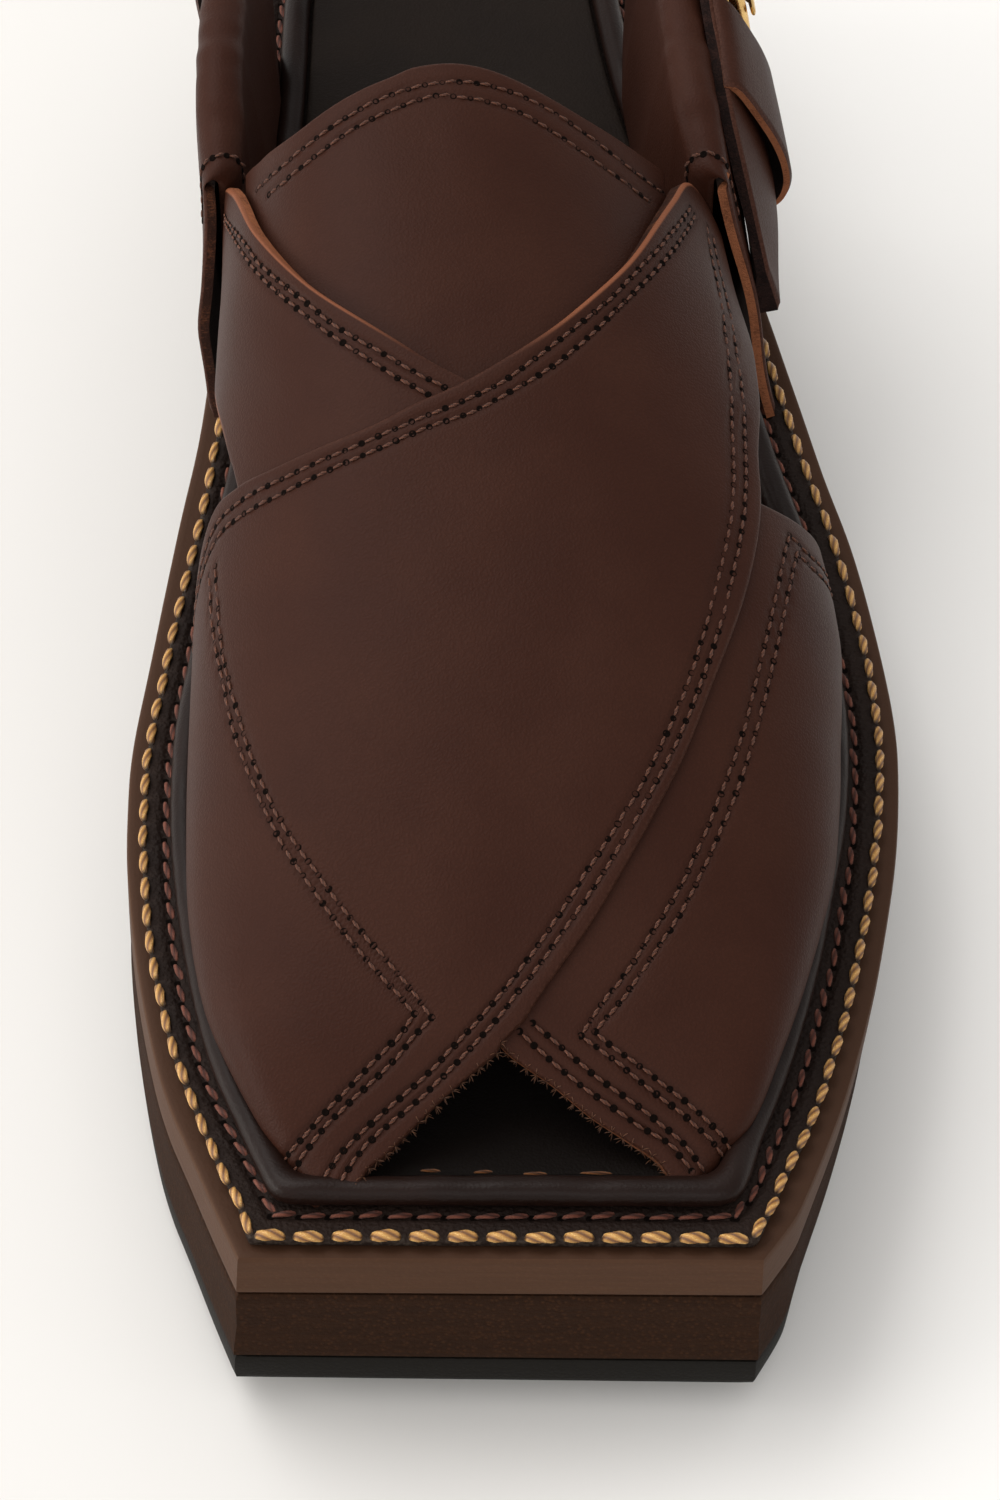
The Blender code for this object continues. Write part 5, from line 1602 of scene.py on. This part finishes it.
def heel_block():
    ring = inset_line(1.2)
    seat = ring[ring[:, 1] > HEEL_BREAST_S + 1.0]
    half = len(ring) // 2
    ends = [np.interp(HEEL_BREAST_S, q[:, 1], q[:, 0]) for q in (ring[half:][::-1], ring[:half])]
    left, right = (min(ends), max(ends))
    first = seat[0]
    start, stop = ((right, left) if first[0] > 0 else (left, right))
    across = np.linspace(0, 1, 40)[:, None]
    a, b = np.array([stop, HEEL_BREAST_S]), np.array([start, HEEL_BREAST_S])
    breast = a + (b - a) * across + np.array([0, 4.0]) * 4 * across * (1 - across)
    plan = np.vstack([seat, breast])
    middle = plan.mean(0)
    away = (plan - middle) / np.linalg.norm(plan - middle, axis=1)[:, None]
    levels = []
    for shrink, drop in ((0.35, 0.0), (0.08, 0.35), (0.0, 0.8)):
        levels.append(np.column_stack([plan - away * shrink, sole_top(plan[:, 1]) - STACK - LAYER_GAP - drop]))
    for shrink, z in ((0.0, 1.2), (0.12, 0.6), (0.4, 0.2), (0.9, 0.0)):
        levels.append(np.column_stack([plan - away * shrink, np.full(len(plan), z - STACK)]))
    count = len(plan)
    points = np.vstack(levels + [[[*middle, levels[0][0, 2]]], [[*middle, -STACK]]])
    quads = [ring_faces(count, k * count, (k + 1) * count) for k in range(len(levels) - 1)]
    top, under = len(points) - 2, len(points) - 1
    fans = [(top, (k + 1) % count, k) for k in range(count)]
    low = (len(levels) - 1) * count
    fans += [(under, low + k, low + (k + 1) % count) for k in range(count)]
    piece = make_piece("heel_block", points, np.vstack(quads), fans, [SOLE_RUBBER])
    return stands_for(piece, "rubber", "heel")


heel_block()

# %% [markdown]
# ## Thread
# A stitch is the piece of thread between two needle holes. Wax makes it shine and its strands show as slanting
# ridges. Its colour carries painted shade between the strands and where it goes into the leather, and a painted
# highlight on the strands.

# %% Mix the threads
def thread_finish(name, colour, dark, light, rough, sheen, specular=0.4):
    finish, tree, shader = new_finish(name, rough, specular)
    shader.inputs["Sheen Weight"].default_value = sheen
    shader.inputs["Sheen Roughness"].default_value = 0.4
    strand, turn, run = (mark_of(tree, mark) for mark in ("strand", "turn", "run"))
    fine = maths(tree, "SINE", maths(tree, "ADD", maths(tree, "MULTIPLY", turn, 60.0),
                                     maths(tree, "MULTIPLY", run, -26.0)))
    fuzz = noise(tree, 6000.0, 3.0, 0.6, place_of(tree))
    # The dark colour in the grooves between the strands is painted shade.
    base = mixed(tree, spread(tree, strand, -0.95, 0.25), dark, colour)
    # A painted highlight of the light colour lies on the strands.
    painted_highlight = maths(tree, "MULTIPLY", spread(tree, strand, 0.1, 1.0), spread(tree, fuzz, 0.35, 0.65))
    base = mixed(tree, maths(tree, "MULTIPLY", painted_highlight, 0.8), base, light)
    # Both ends darken as painted shade where the thread goes into the leather.
    base = mixed(tree, spread(tree, run, 0.12, 0.0), base, [0.3 * c for c in dark])
    base = mixed(tree, spread(tree, run, 0.88, 1.0), base, [0.3 * c for c in dark])
    tree.links.new(base, shader.inputs["Base Color"])
    bump(tree, shader, maths(tree, "ADD", maths(tree, "MULTIPLY", fine, 0.4), fuzz), 0.00006)
    return finish


# A needle hole's near-black colour is painted shade for the dark inside of the hole.
def hole_shade_finish():
    finish, tree, shader = new_finish("needle_hole", 0.9, 0.05)
    cloud = noise(tree, 1500.0, 2.0, 0.5, place_of(tree))
    dark = mixed(tree, cloud, (0.0016, 0.001, 0.0008), (0.006, 0.003, 0.002))
    tree.links.new(dark, shader.inputs["Base Color"])
    return finish


# In each thread the second colour is painted shade and the third a painted highlight.
GOLD_THREAD = thread_finish("golden_waxed_thread", (0.50, 0.235, 0.050), (0.15, 0.055, 0.012),
                            (0.95, 0.62, 0.20), 0.30, 0.05, 0.7)
BROWN_THREAD = thread_finish("brown_waxed_thread", (0.185, 0.051, 0.029), (0.065, 0.018, 0.011),
                             (0.32, 0.12, 0.07), 0.5, 0.05)
COPPER_THREAD = thread_finish("copper_thread", (0.180, 0.060, 0.029), (0.060, 0.019, 0.010),
                              (0.31, 0.120, 0.06), 0.5, 0.05)
SADDLE_THREAD = thread_finish("orange_saddle_thread", (0.20, 0.068, 0.016), (0.06, 0.02, 0.006),
                              (0.34, 0.14, 0.045), 0.6, 0.1, 0.2)
TAN_FIBRE = thread_finish("tan_fibre", (0.20, 0.080, 0.036), (0.12, 0.045, 0.02),
                          (0.30, 0.14, 0.07), 0.8, 0.1, 0.1)
# The colour of the needle holes is painted shade.
NEEDLE_HOLE_SHADE = hole_shade_finish()
print("finishes in all:", len(bpy.data.materials))

# %% [markdown]
# ### The shape of one stitch
# It has few faces, because hundreds of copies are laid. It is measured in shares of its own length and
# keeps three numbers at each vertex for its finish.

# %% Shape a stitch and a hole
HOLE_SIDES = 9


def plain_object(name, points, faces):
    mesh = bpy.data.meshes.new(name)
    mesh.from_pydata(points, [], faces)
    mesh.shade_smooth()
    return bpy.data.objects.new(name, mesh)


def stitch_shape(name, thick, flat, rise, sink, fullness, stations=11, strands=2, columns=4,
                 twist=0.5, groove=0.12, narrow=0.25, gap=0.02):
    """One stitch along X from 0 to 1, in units of its own length; thickness in metres. Its strands
    stand out of it as ridges that wind round it."""
    sides = strands * columns
    u = np.linspace(0, 1, stations)
    v = np.arange(sides) / sides
    body = np.maximum(np.sin(np.pi * u), 0.0) ** fullness
    ridge = np.cos(2 * np.pi * strands * v)
    radius = thick * (narrow + (1 - narrow) * body)[:, None] * (1 - groove + groove * ridge)[None, :]
    lift_up = -sink + rise * body
    angle = 2 * np.pi * (v[None, :] + twist * (u[:, None] - 0.5))
    points = np.empty((stations, sides, 3))
    points[..., 0] = (gap + (1 - 2 * gap) * u)[:, None]
    points[..., 1] = radius * np.cos(angle)
    points[..., 2] = lift_up[:, None] + radius * flat * np.sin(angle)
    faces = [(k * sides + j, k * sides + (j + 1) % sides, (k + 1) * sides + (j + 1) % sides, (k + 1) * sides + j)
             for k in range(stations - 1) for j in range(sides)]
    faces += [tuple(range(sides))[::-1], tuple((stations - 1) * sides + j for j in range(sides))]
    stitch = plain_object(name, points.reshape(-1, 3).tolist(), faces)
    for mark, values in (("turn", np.tile(np.abs(v * 2 - 1), stations)), ("run", np.repeat(u, sides)),
                         ("strand", np.tile(ridge, stations))):
        made = stitch.data.attributes.new(mark, "FLOAT", "POINT")
        made.data.foreach_set("value", values.astype(np.float32))
    stitch.data.flip_normals()
    return stitch


def hole_shape(name, long_way, wide_way, rise):
    points = [(0.0, 0.0, rise * 0.3)]
    for size, z in ((0.55, rise * 0.4), (1.0, rise), (1.35, -rise)):
        for k in range(HOLE_SIDES):
            t = 2 * np.pi * k / HOLE_SIDES
            points.append((long_way * size * np.cos(t), wide_way * size * np.sin(t), z))
    around = [(k, (k + 1) % HOLE_SIDES) for k in range(HOLE_SIDES)]
    faces = [(0, 1 + k, 1 + after) for k, after in around]
    for a, b in ((1, 1 + HOLE_SIDES), (1 + HOLE_SIDES, 1 + 2 * HOLE_SIDES)):
        faces += [(a + k, b + k, b + after, a + after) for k, after in around]
    return plain_object(name, points, faces)


FINE_STITCH = stitch_shape("fine_stitch", 0.00027, 0.85, 0.00024, 0.00011, 0.5, 7, 2, 3, twist=0.7, gap=0.14)
FINE_HOLE = hole_shape("fine_hole", 0.00044, 0.00048, 0.00014)
print("a fine stitch has", len(FINE_STITCH.data.polygons), "faces and a hole", len(FINE_HOLE.data.polygons))

# %% [markdown]
# ## The tree that sews
# Geometry Nodes lay a copy of the stitch at every step along a seam. Named inputs give the stitch, its
# length and width, its lean, how uneven the hand is, and a seed, so one tree sews every row.

# %% Name the inputs of the tree
SEWING_INPUTS = (
    ("Geometry", "NodeSocketGeometry", None), ("Stitch", "NodeSocketObject", None),
    ("Stitch Length", "NodeSocketFloat", 0.0022), ("Width", "NodeSocketFloat", 1.0),
    ("Lean", "NodeSocketFloat", 0.0), ("Unevenness", "NodeSocketFloat", 0.06),
    ("Stretch", "NodeSocketBool", True), ("At End", "NodeSocketInt", 0),
    ("Seed", "NodeSocketInt", 1), ("Thread", "NodeSocketMaterial", None),
)


def named_tree():
    tree = bpy.data.node_groups.new("sew a seam", "GeometryNodeTree")
    for name, kind, value in SEWING_INPUTS:
        made = tree.interface.new_socket(name, in_out="INPUT", socket_type=kind)
        if value is not None:
            made.default_value = value
    tree.interface.new_socket("Geometry", in_out="OUTPUT", socket_type="NodeSocketGeometry")
    return tree, tree.nodes.new("NodeGroupInput")


SEWING, GIVEN = named_tree()
SOCKETS = {item.name: item.identifier for item in SEWING.interface.items_tree
           if item.item_type == "SOCKET" and item.in_out == "INPUT"}
print("sewing sockets:", ", ".join(SOCKETS))

# %% [markdown]
# ### Even points along the seam
# A whole number of stitches has to fit, so the seam's length over the stitch length is rounded down. The
# true step is kept, because each stitch is stretched to fill it.

# %% Share the seam out
def even_points(tree, given):
    """The seam resampled at every stitch, and the length of one step."""
    line = node(tree, "GeometryNodeMeshToCurve", {"Mesh": given.outputs["Geometry"]}).outputs[0]
    length = node(tree, "GeometryNodeSplineLength").outputs["Length"]
    whole = maths(tree, "FLOOR", maths(tree, "DIVIDE", length, given.outputs["Stitch Length"]))
    fits = maths(tree, "MAXIMUM", whole, 1.0)
    kept = node(tree, "GeometryNodeCaptureAttribute", domain="CURVE")
    kept.capture_items.new("FLOAT", "step")
    tree.links.new(line, kept.inputs[0])
    tree.links.new(maths(tree, "DIVIDE", length, fits), kept.inputs[1])
    spaced = node(tree, "GeometryNodeResampleCurve", mode="COUNT")
    tree.links.new(kept.outputs[0], spaced.inputs["Curve"])
    tree.links.new(maths(tree, "ADD", fits, 1.0), spaced.inputs["Count"])
    return spaced.outputs[0], kept.outputs[1]


POINTS, STEP = even_points(SEWING, GIVEN)
print("nodes so far:", len(SEWING.nodes))

# %% [markdown]
# ### Which way, how big and where
# A stitch lies along the seam with its top facing out. A little seeded randomness keeps hand sewing from
# looking like a zip. Every point but the last gets one, and the last too where holes are laid.

# %% Turn, size and choose
def lie_and_lean(tree, given):
    """The turn along the seam, the lean about the way out, and how uneven this stitch is."""
    out_way = node(tree, "GeometryNodeInputNamedAttribute", {"Name": "out"}, data_type="FLOAT_VECTOR")
    tangent = node(tree, "GeometryNodeInputTangent").outputs[0]
    turned = node(tree, "FunctionNodeAxesToRotation", {0: tangent, 1: out_way.outputs[0]},
                  primary_axis="X", secondary_axis="Z")
    wobble = node(tree, "FunctionNodeRandomValue", {2: -1.0, 3: 1.0, "Seed": given.outputs["Seed"]},
                  data_type="FLOAT")
    uneven = maths(tree, "MULTIPLY", wobble.outputs[1], given.outputs["Unevenness"])
    lean = node(tree, "ShaderNodeCombineXYZ", {"Z": maths(tree, "ADD", given.outputs["Lean"], uneven)})
    return turned.outputs[0], lean.outputs[0], uneven


def stitch_size(tree, given, uneven, step):
    """The scale of a stitch: its width, and its length where it is stretched to the step."""
    width = maths(tree, "ADD", maths(tree, "MULTIPLY", uneven, 1.0), given.outputs["Width"])
    length = node(tree, "GeometryNodeSwitch", {0: given.outputs["Stretch"], 1: width, 2: step},
                  input_type="FLOAT")
    return node(tree, "ShaderNodeCombineXYZ", {0: length.outputs[0], 1: width, 2: width}).outputs[0]


def sewn_points(tree, given):
    last_ones = node(tree, "GeometryNodeCurveEndpointSelection", {"Start Size": 0}).outputs[0]
    others = node(tree, "FunctionNodeBooleanMath", {0: last_ones}, operation="NOT").outputs[0]
    at_end = node(tree, "FunctionNodeCompare", data_type="INT", operation="GREATER_THAN")
    tree.links.new(given.outputs["At End"], at_end.inputs[2])
    at_end.inputs[3].default_value = 0
    return node(tree, "FunctionNodeBooleanMath", {0: others, 1: at_end.outputs[0]}, operation="OR").outputs[0]


TURNED, LEAN, UNEVEN = lie_and_lean(SEWING, GIVEN)
SIZE = stitch_size(SEWING, GIVEN, UNEVEN, STEP)
CHOSEN = sewn_points(SEWING, GIVEN)
print("nodes so far:", len(SEWING.nodes))

# %% [markdown]
# ### Lay the copies
# A copy is put at each chosen point and leaned. Then all are made real and given their thread, so that
# they can be kept as a plain mesh.

# %% Lay the copies
def lay_copies(tree, given):
    thing = node(tree, "GeometryNodeObjectInfo", {"Object": given.outputs["Stitch"]})
    placed = node(tree, "GeometryNodeInstanceOnPoints",
                  {"Points": POINTS, "Selection": CHOSEN, "Instance": thing.outputs["Geometry"],
                   "Rotation": TURNED, "Scale": SIZE})
    leaned = node(tree, "GeometryNodeRotateInstances", {"Instances": placed.outputs[0], "Rotation": LEAN})
    whole = node(tree, "GeometryNodeRealizeInstances", {0: leaned.outputs[0]})
    painted = node(tree, "GeometryNodeSetMaterial", {0: whole.outputs[0], "Material": given.outputs["Thread"]})
    tree.links.new(painted.outputs[0], tree.nodes.new("NodeGroupOutput").inputs[0])


lay_copies(SEWING, GIVEN)
print("the tree has", len(SEWING.nodes), "nodes and", len(SEWING.links), "links")

# %% [markdown]
# ### Sew with it
# A seam is a mesh of edges that carries the direction out of the leather. The tree goes on it as a
# modifier, its inputs are set by their identifiers, and the result is kept as a plain mesh.

# %% Sew with the tree
def seam_lines_mesh(name, lines):
    points, outs, edges = [], [], []
    for line, out in lines:
        start = len(points)
        points += to_world(line).tolist()
        outs += np.asarray(out).tolist()
        edges += [(k, k + 1) for k in range(start, len(points) - 1)]
    mesh = bpy.data.meshes.new(name)
    mesh.from_pydata(points, edges, [])
    way = mesh.attributes.new("out", "FLOAT_VECTOR", "POINT")
    way.data.foreach_set("vector", np.array(outs, np.float32).ravel())
    return mesh


def sew(name, lines, shape, thread, length, slot, width=1.0, lean=0.0, uneven=0.06, stretch=True, seed=1,
        at_end=0):
    """Sews lines with a stitch and turns the result into one plain mesh that rides with the shoe."""
    holder = in_scene(bpy.data.objects.new(name + "_line", seam_lines_mesh(name + "_line", lines)))
    sewn = holder.modifiers.new("sew", "NODES")
    sewn.node_group = SEWING
    for key, value in (("Stitch", shape), ("Stitch Length", length / 1000), ("Width", width), ("Lean", lean),
                       ("Unevenness", uneven), ("Stretch", stretch), ("At End", at_end), ("Seed", seed),
                       ("Thread", thread)):
        sewn[SOCKETS[key]] = value
    bpy.context.view_layer.update()
    graph = bpy.context.evaluated_depsgraph_get()
    mesh = bpy.data.meshes.new_from_object(holder.evaluated_get(graph), depsgraph=graph)
    mesh.name = name
    piece = in_scene(bpy.data.objects.new(name, mesh))
    bpy.data.objects.remove(holder)
    return stands_for(piece, slot)


print("ready to sew", len(TOP_LINES + UNDER_LINES + FLAP_LINES), "rows on the upper")

# %% [markdown]
# ## Sew the straps
# The rows use the tables that pulled the leather down, so the thread lies in its own furrow, with a
# needle hole at each end of every stitch.

# %% Seams of the straps
FINE_STEP = 2.5


def lines_over(lines, stand, drop):
    """Lines of S and girth as points on the grain side, sunk by drop, with the direction out."""
    found = []
    for line in lines:
        s, g = line[:, 0], line[:, 1]
        found.append(over_last(s, g, stand + relief(s, g) - drop))
    return found


for title, lines, stand, seed in (("top_strap", TOP_LINES, TOP_STRAP[1], 3),
                                  ("under_strap", UNDER_LINES, UNDER_STRAP[1], 5),
                                  ("flap", FLAP_LINES, FLAP[1], 7)):
    sew(title + "_stitches", lines_over(lines, stand, 0.17), FINE_STITCH, COPPER_THREAD, FINE_STEP,
        "vamp_leather", seed=seed)
    sew(title + "_needle_holes", lines_over(lines, stand, 0.20), FINE_HOLE, NEEDLE_HOLE_SHADE, FINE_STEP,
        "vamp_leather", stretch=False, uneven=0.12, seed=seed + 20, at_end=1)
print("strap rows sewn:", len(TOP_LINES), len(UNDER_LINES), len(FLAP_LINES))

# %% [markdown]
# ### Across the folds
# The lining of each quarter is caught by a short row over its fold, close behind the front edge.

# %% Seams of the quarters
fold_lines = [(line + out * 0.05, out) for line, out in FOLD_SEAMS]
sew("quarter_stitches", fold_lines, FINE_STITCH, COPPER_THREAD, 2.0, "vamp_leather", seed=9)
sew("quarter_needle_holes", fold_lines, FINE_HOLE, NEEDLE_HOLE_SHADE, 2.0, "vamp_leather", stretch=False, uneven=0.12,
    seed=29, at_end=1)
print("stitches over the folds:", len(FOLD_SEAMS), "short rows")

# %% [markdown]
# ### Loose fibres
# Where the straps are cut near the toe the leather is not burnished, and short fibres stand out of the
# cut. They are laid by the same tree: a thin bent hair instead of a stitch, leaning far to either side.

# %% Fibres along the cut edges
FIBRE = stitch_shape("fibre", 0.00005, 1.0, 0.0004, 0.0, 0.8, 5, 1, 3, twist=0.0, groove=0.0, narrow=0.4)
for corner in FIBRE.data.vertices:
    corner.co.x *= 0.0008
FIBRE_DEPTHS = (0.3, 0.9, 1.6)


def fibre_lines(table, stand, low, high, sink):
    """Stretches of a cut edge between low and high, a little under the grain side."""
    line = spline(table, 300, METRE)
    line = line[(line[:, 0] >= low) & (line[:, 0] <= high)]
    found = []
    for depth in sink:
        points, out = over_last(line[:, 0], line[:, 1], stand - depth)
        found.append((points, out))
    return found


fibres = (fibre_lines(TOP_EDGE, TOP_STRAP[1], 9.6, 28, FIBRE_DEPTHS)
          + fibre_lines(UNDER_EDGE, UNDER_STRAP[1], 10.5, 28, FIBRE_DEPTHS))
for word, lean, seed in (("ahead", 1.0, 31), ("behind", 2.2, 33), ("below", -1.0, 34), ("beyond", -2.2, 36)):
    sew("loose_fibres_" + word, fibres, FIBRE, TAN_FIBRE, 1.5, "vamp_leather", lean=lean, uneven=0.5,
        stretch=False, seed=seed)
print("edges with loose fibres:", len(fibres))

# %% [markdown]
# ## Sew the welt
# A welt row is split at the toe corners into a front and a side, so that whole stitches fit in each. The
# golden ones face a little outward, because they are pulled over the edge.

# %% Runs of a welt row
def welt_run(inset, height, front_count, side_count, outward=0.0):
    """The front and side runs of a welt row, each with its upward direction, which may lean outward."""
    ring = welt_line(inset, front_count * SECTIONS, side_count * SECTIONS)
    ring = np.roll(ring, front_count * SECTIONS // 2, 0)
    closed = np.vstack([ring, ring[:1]])
    away = -inward_of(ring)
    if (away * (ring - ring.mean(0))).sum() < 0:
        away = -away
    away = np.vstack([away, away[:1]])
    runs = []
    for pick in (slice(0, front_count * SECTIONS + 1), slice(front_count * SECTIONS, None)):
        part = closed[pick]
        points = lift(part, height)
        slope = (sole_top(part[:, 1] + 1) - sole_top(part[:, 1] - 1)) / 2
        way = away[pick] * outward
        out = np.column_stack([way[:, 0], way[:, 1] - slope, np.ones(len(part))])
        runs.append((points, out / np.linalg.norm(out, axis=1)[:, None]))
    return runs


def run_length(run, count):
    """A stitch length that fits exactly count stitches in a run."""
    return float(step_lengths(run[0]).sum()) / count * 0.9999


gold_front, gold_side = welt_run(GOLD_INSET, WELT_TOP - 0.02, FRONT_STITCHES, SIDE_STITCHES, 0.36)
print("a golden stitch at the toe is", round(run_length(gold_front, FRONT_STITCHES), 2), "mm long")

# %% [markdown]
# ### The golden stitches
# They are thick waxed thread of three strands, about five millimetres long and closer along the outer
# side of the toe, so the side run is cut in two.

# %% Sew the golden row
GOLD_STITCH = stitch_shape("gold_stitch", 0.00086, 0.85, 0.00066, 0.00040, 0.40, 13, 3, 4, twist=0.55,
                           groove=0.09, narrow=0.22, gap=0.08)
sew("golden_stitches_front", [gold_front], GOLD_STITCH, GOLD_THREAD, run_length(gold_front, FRONT_STITCHES),
    "black_leather", uneven=0.05, seed=11)


def split_run(run, ring_points):
    """The side run cut in two where the stitches change from close to wide."""
    split, close_first = side_split(ring_points)
    at = split - FRONT_STITCHES * SECTIONS // 2
    line, out = run
    parts = [(line[: at + 1], out[: at + 1]), (line[at:], out[at:])]
    return parts if close_first else parts[::-1]


gold_close, gold_wide = split_run(gold_side, welt_line(GOLD_INSET))
for word, run, count, seed in (
        ("close", gold_close, round(run_length(gold_close, 1) / CLOSE_STITCH), 12),
        ("wide", gold_wide, round((len(gold_wide[0]) - 1) / SECTIONS), 17)):
    sew("golden_stitches_" + word, [run], GOLD_STITCH, GOLD_THREAD, run_length(run, count), "black_leather",
        width=0.84, uneven=0.05, seed=seed)
print("golden stitches round the side:", round(run_length(gold_close, 1) / CLOSE_STITCH), "close and",
      round((len(gold_wide[0]) - 1) / SECTIONS), "wide")

# %% [markdown]
# ### The brown row
# A thinner cord leans, so each stitch starts on one side of its groove and ends on the other, with an
# open needle hole between two.

# %% Sew the brown row
BROWN_STITCH = stitch_shape("brown_stitch", 0.00050, 0.8, 0.00042, 0.00018, 0.42, 9, 2, 4, twist=0.6)
WELT_HOLE = hole_shape("welt_hole", 0.00050, 0.00070, 0.00008)
BROWN_COUNTS = (16, 160)
brown_runs = welt_run(BROWN_INSET, WELT_TOP - 0.34, *BROWN_COUNTS)
for run, count, word in zip(brown_runs, BROWN_COUNTS, ("front", "side")):
    sew(f"brown_stitches_{word}", [run], BROWN_STITCH, BROWN_THREAD, run_length(run, count), "black_leather",
        lean=0.20, uneven=0.07, seed=13)
    sew(f"brown_needle_holes_{word}", [run], WELT_HOLE, NEEDLE_HOLE_SHADE, run_length(run, count), "black_leather",
        width=0.8, stretch=False, uneven=0.1, seed=14)
print("brown stitches:", *BROWN_COUNTS)

# %% [markdown]
# ### The stitches of the footbed
# Four short pieces of orange saddle thread show under the toes, where the cover is caught down.

# %% Sew the footbed
def footbed_run():
    runs = []
    for low, high, s in ((-11.2, -8.1, 13.0), (-4.1, -1.2, 12.6), (2.4, 6.1, 12.3), (9.9, 14.8, 12.4)):
        x = np.linspace(low, high, 8)
        line = np.column_stack([x, np.full(8, s), np.full(8, sole_top(s) + FOOT_LIFT + FOOTBED_THICK + 0.05)])
        runs.append((line, np.tile([0.0, 0.0, 1.0], (8, 1))))
    return runs


SADDLE_STITCH = stitch_shape("saddle_stitch", 0.00030, 0.7, 0.00022, 0.00016, 0.4, 9, 2, 4)
sew("footbed_stitches", footbed_run(), SADDLE_STITCH, SADDLE_THREAD, 6.0, "black_leather", seed=15)
print("footbed stitches:", [round(float(np.ptp(line[:, 0])), 1) for line, _ in footbed_run()], "mm")

# %% [markdown]
# ## The studio floor
# The floor is plain and pale and isn't part of the shoe. A slow cloud changes its tone, and painted light makes
# it lighter on the outer side of the shoe.

# %% Lay the floor
FLOOR_HALF = 3.0


def studio_floor():
    mesh = bpy.data.meshes.new("studio_floor")
    corners = [(x * FLOOR_HALF, y * FLOOR_HALF, 0) for x, y in ((-1, -1), (1, -1), (1, 1), (-1, 1))]
    mesh.from_pydata(corners, [], [(0, 1, 2, 3)])
    finish, tree, shader = new_finish("pale_floor", 0.65, 0.25)
    where = place_of(tree)
    cloud = mixed(tree, noise(tree, 9.0, 3.0, 0.5, where), (0.80, 0.785, 0.765), (0.82, 0.81, 0.795))
    # The lighter tone on the outer side of the shoe is painted light.
    far = node(tree, "ShaderNodeSeparateXYZ", {0: where}).outputs["X"]
    cloud_and_painted_light = mixed(tree, spread(tree, far, -0.02, 0.06), cloud, (0.935, 0.925, 0.91))
    tree.links.new(cloud_and_painted_light, shader.inputs["Base Color"])
    mesh.materials.append(finish)
    floor = in_scene(bpy.data.objects.new("studio_floor", mesh))
    return floor


print("floor of", 2 * FLOOR_HALF, "m:", studio_floor().name)

# %% [markdown]
# ## The lights
# Soft light comes from the left: a broad window over the shoe, a narrow one high behind it for the sheen
# on leather that faces up, and a low warm one that reaches under the edges. A weak fill stands in front.

# %% Hang the lights
def soft_light(name, place, towards, width, height, power, colour=(1.0, 1.0, 1.0)):
    lamp = bpy.data.lights.new(name, "AREA")
    lamp.shape = "RECTANGLE"
    lamp.size = width
    lamp.size_y = height
    lamp.energy = power
    lamp.color = colour
    made = bpy.data.objects.new(name, lamp)
    made.location = place
    made.rotation_euler = (Vector(towards) - Vector(place)).to_track_quat("-Z", "Y").to_euler()
    return in_scene(made)


soft_light("window_left", (-0.6, 0.28, 1.1), (0.0, 0.0, 0.05), 0.85, 0.85, 6.5, (1.0, 0.98, 0.955))
soft_light("window_above", (-0.17, 0.42, 1.1), (0.0, 0.1, 0.05), 0.30, 0.70, 0.9, (1.0, 0.985, 0.965))
soft_light("low_left", (-1.2, -0.15, 0.26), (0.0, 0.02, 0.02), 0.9, 0.40, 6.5, (1.0, 0.96, 0.90))
soft_light("front_fill", (0.2, -1.2, 0.9), (0.0, -0.05, 0.03), 0.9, 0.7, 2.5, (1.0, 0.985, 0.97))
print("lamps:", [lamp.name for lamp in bpy.data.lights])

# %% [markdown]
# ## The room
# The rest of the light comes from a pale room, a little more of it from the inner side of the shoe. The
# colours are shown with no film look over them.

# %% Surround the shoe
ROOM_LEVEL = 0.75
ROOM_LEAN = -0.30


def pale_room():
    world = bpy.data.worlds.new("studio")
    world.use_nodes = True
    tree = world.node_tree
    where = place_of(tree)
    parts = node(tree, "ShaderNodeSeparateXYZ", {0: where})
    side = maths(tree, "MULTIPLY_ADD", parts.outputs["X"], ROOM_LEAN)
    side.node.inputs[2].default_value = 1.0
    level = maths(tree, "MULTIPLY", side, ROOM_LEVEL)
    shade = tree.nodes["Background"]
    shade.inputs["Color"].default_value = (1.0, 0.985, 0.965, 1.0)
    tree.links.new(level, shade.inputs["Strength"])
    bpy.context.scene.world = world


pale_room()
bpy.context.scene.view_settings.view_transform = "Standard"
bpy.context.scene.view_settings.look = "None"
print("room level:", ROOM_LEVEL)

# %% [markdown]
# ## The camera
# The view looks down at 48 degrees from straight ahead of the toe, from seven tenths of a metre. The
# lens is long, so the back of the shoe is hardly smaller than the front.

# %% Camera
LENS_MM = 115.58
LOOK_DOWN = 48.0
LOOK_SIDE = 0.2
ROLL = 0.14
LOOK_AT = (0.0, 95.0, 0.0)
DISTANCE = 700.0


def toe_camera():
    pitch, yaw, roll = np.radians([LOOK_DOWN, LOOK_SIDE, ROLL])
    ahead = np.array([np.sin(yaw) * np.cos(pitch), np.cos(yaw) * np.cos(pitch), -np.sin(pitch)])
    right = np.array([np.cos(yaw), -np.sin(yaw), 0.0])
    down = np.cross(ahead, right)
    across = np.cos(roll) * right + np.sin(roll) * down
    below = -np.sin(roll) * right + np.cos(roll) * down
    place = to_world(np.array(LOOK_AT) - ahead * DISTANCE)
    data = bpy.data.cameras.new("toe_camera")
    data.lens = LENS_MM
    data.sensor_width = 36.0
    data.clip_start = 0.05
    data.clip_end = 20.0
    camera = bpy.data.objects.new("toe_camera", data)
    turned = np.column_stack([across, -below, -ahead])
    camera.matrix_world = Matrix.Translation(Vector(place)) @ Matrix(turned.tolist()).to_4x4()
    bpy.context.scene.camera = in_scene(camera)
    return camera


camera = toe_camera()
print("camera at", [round(x, 3) for x in camera.location])
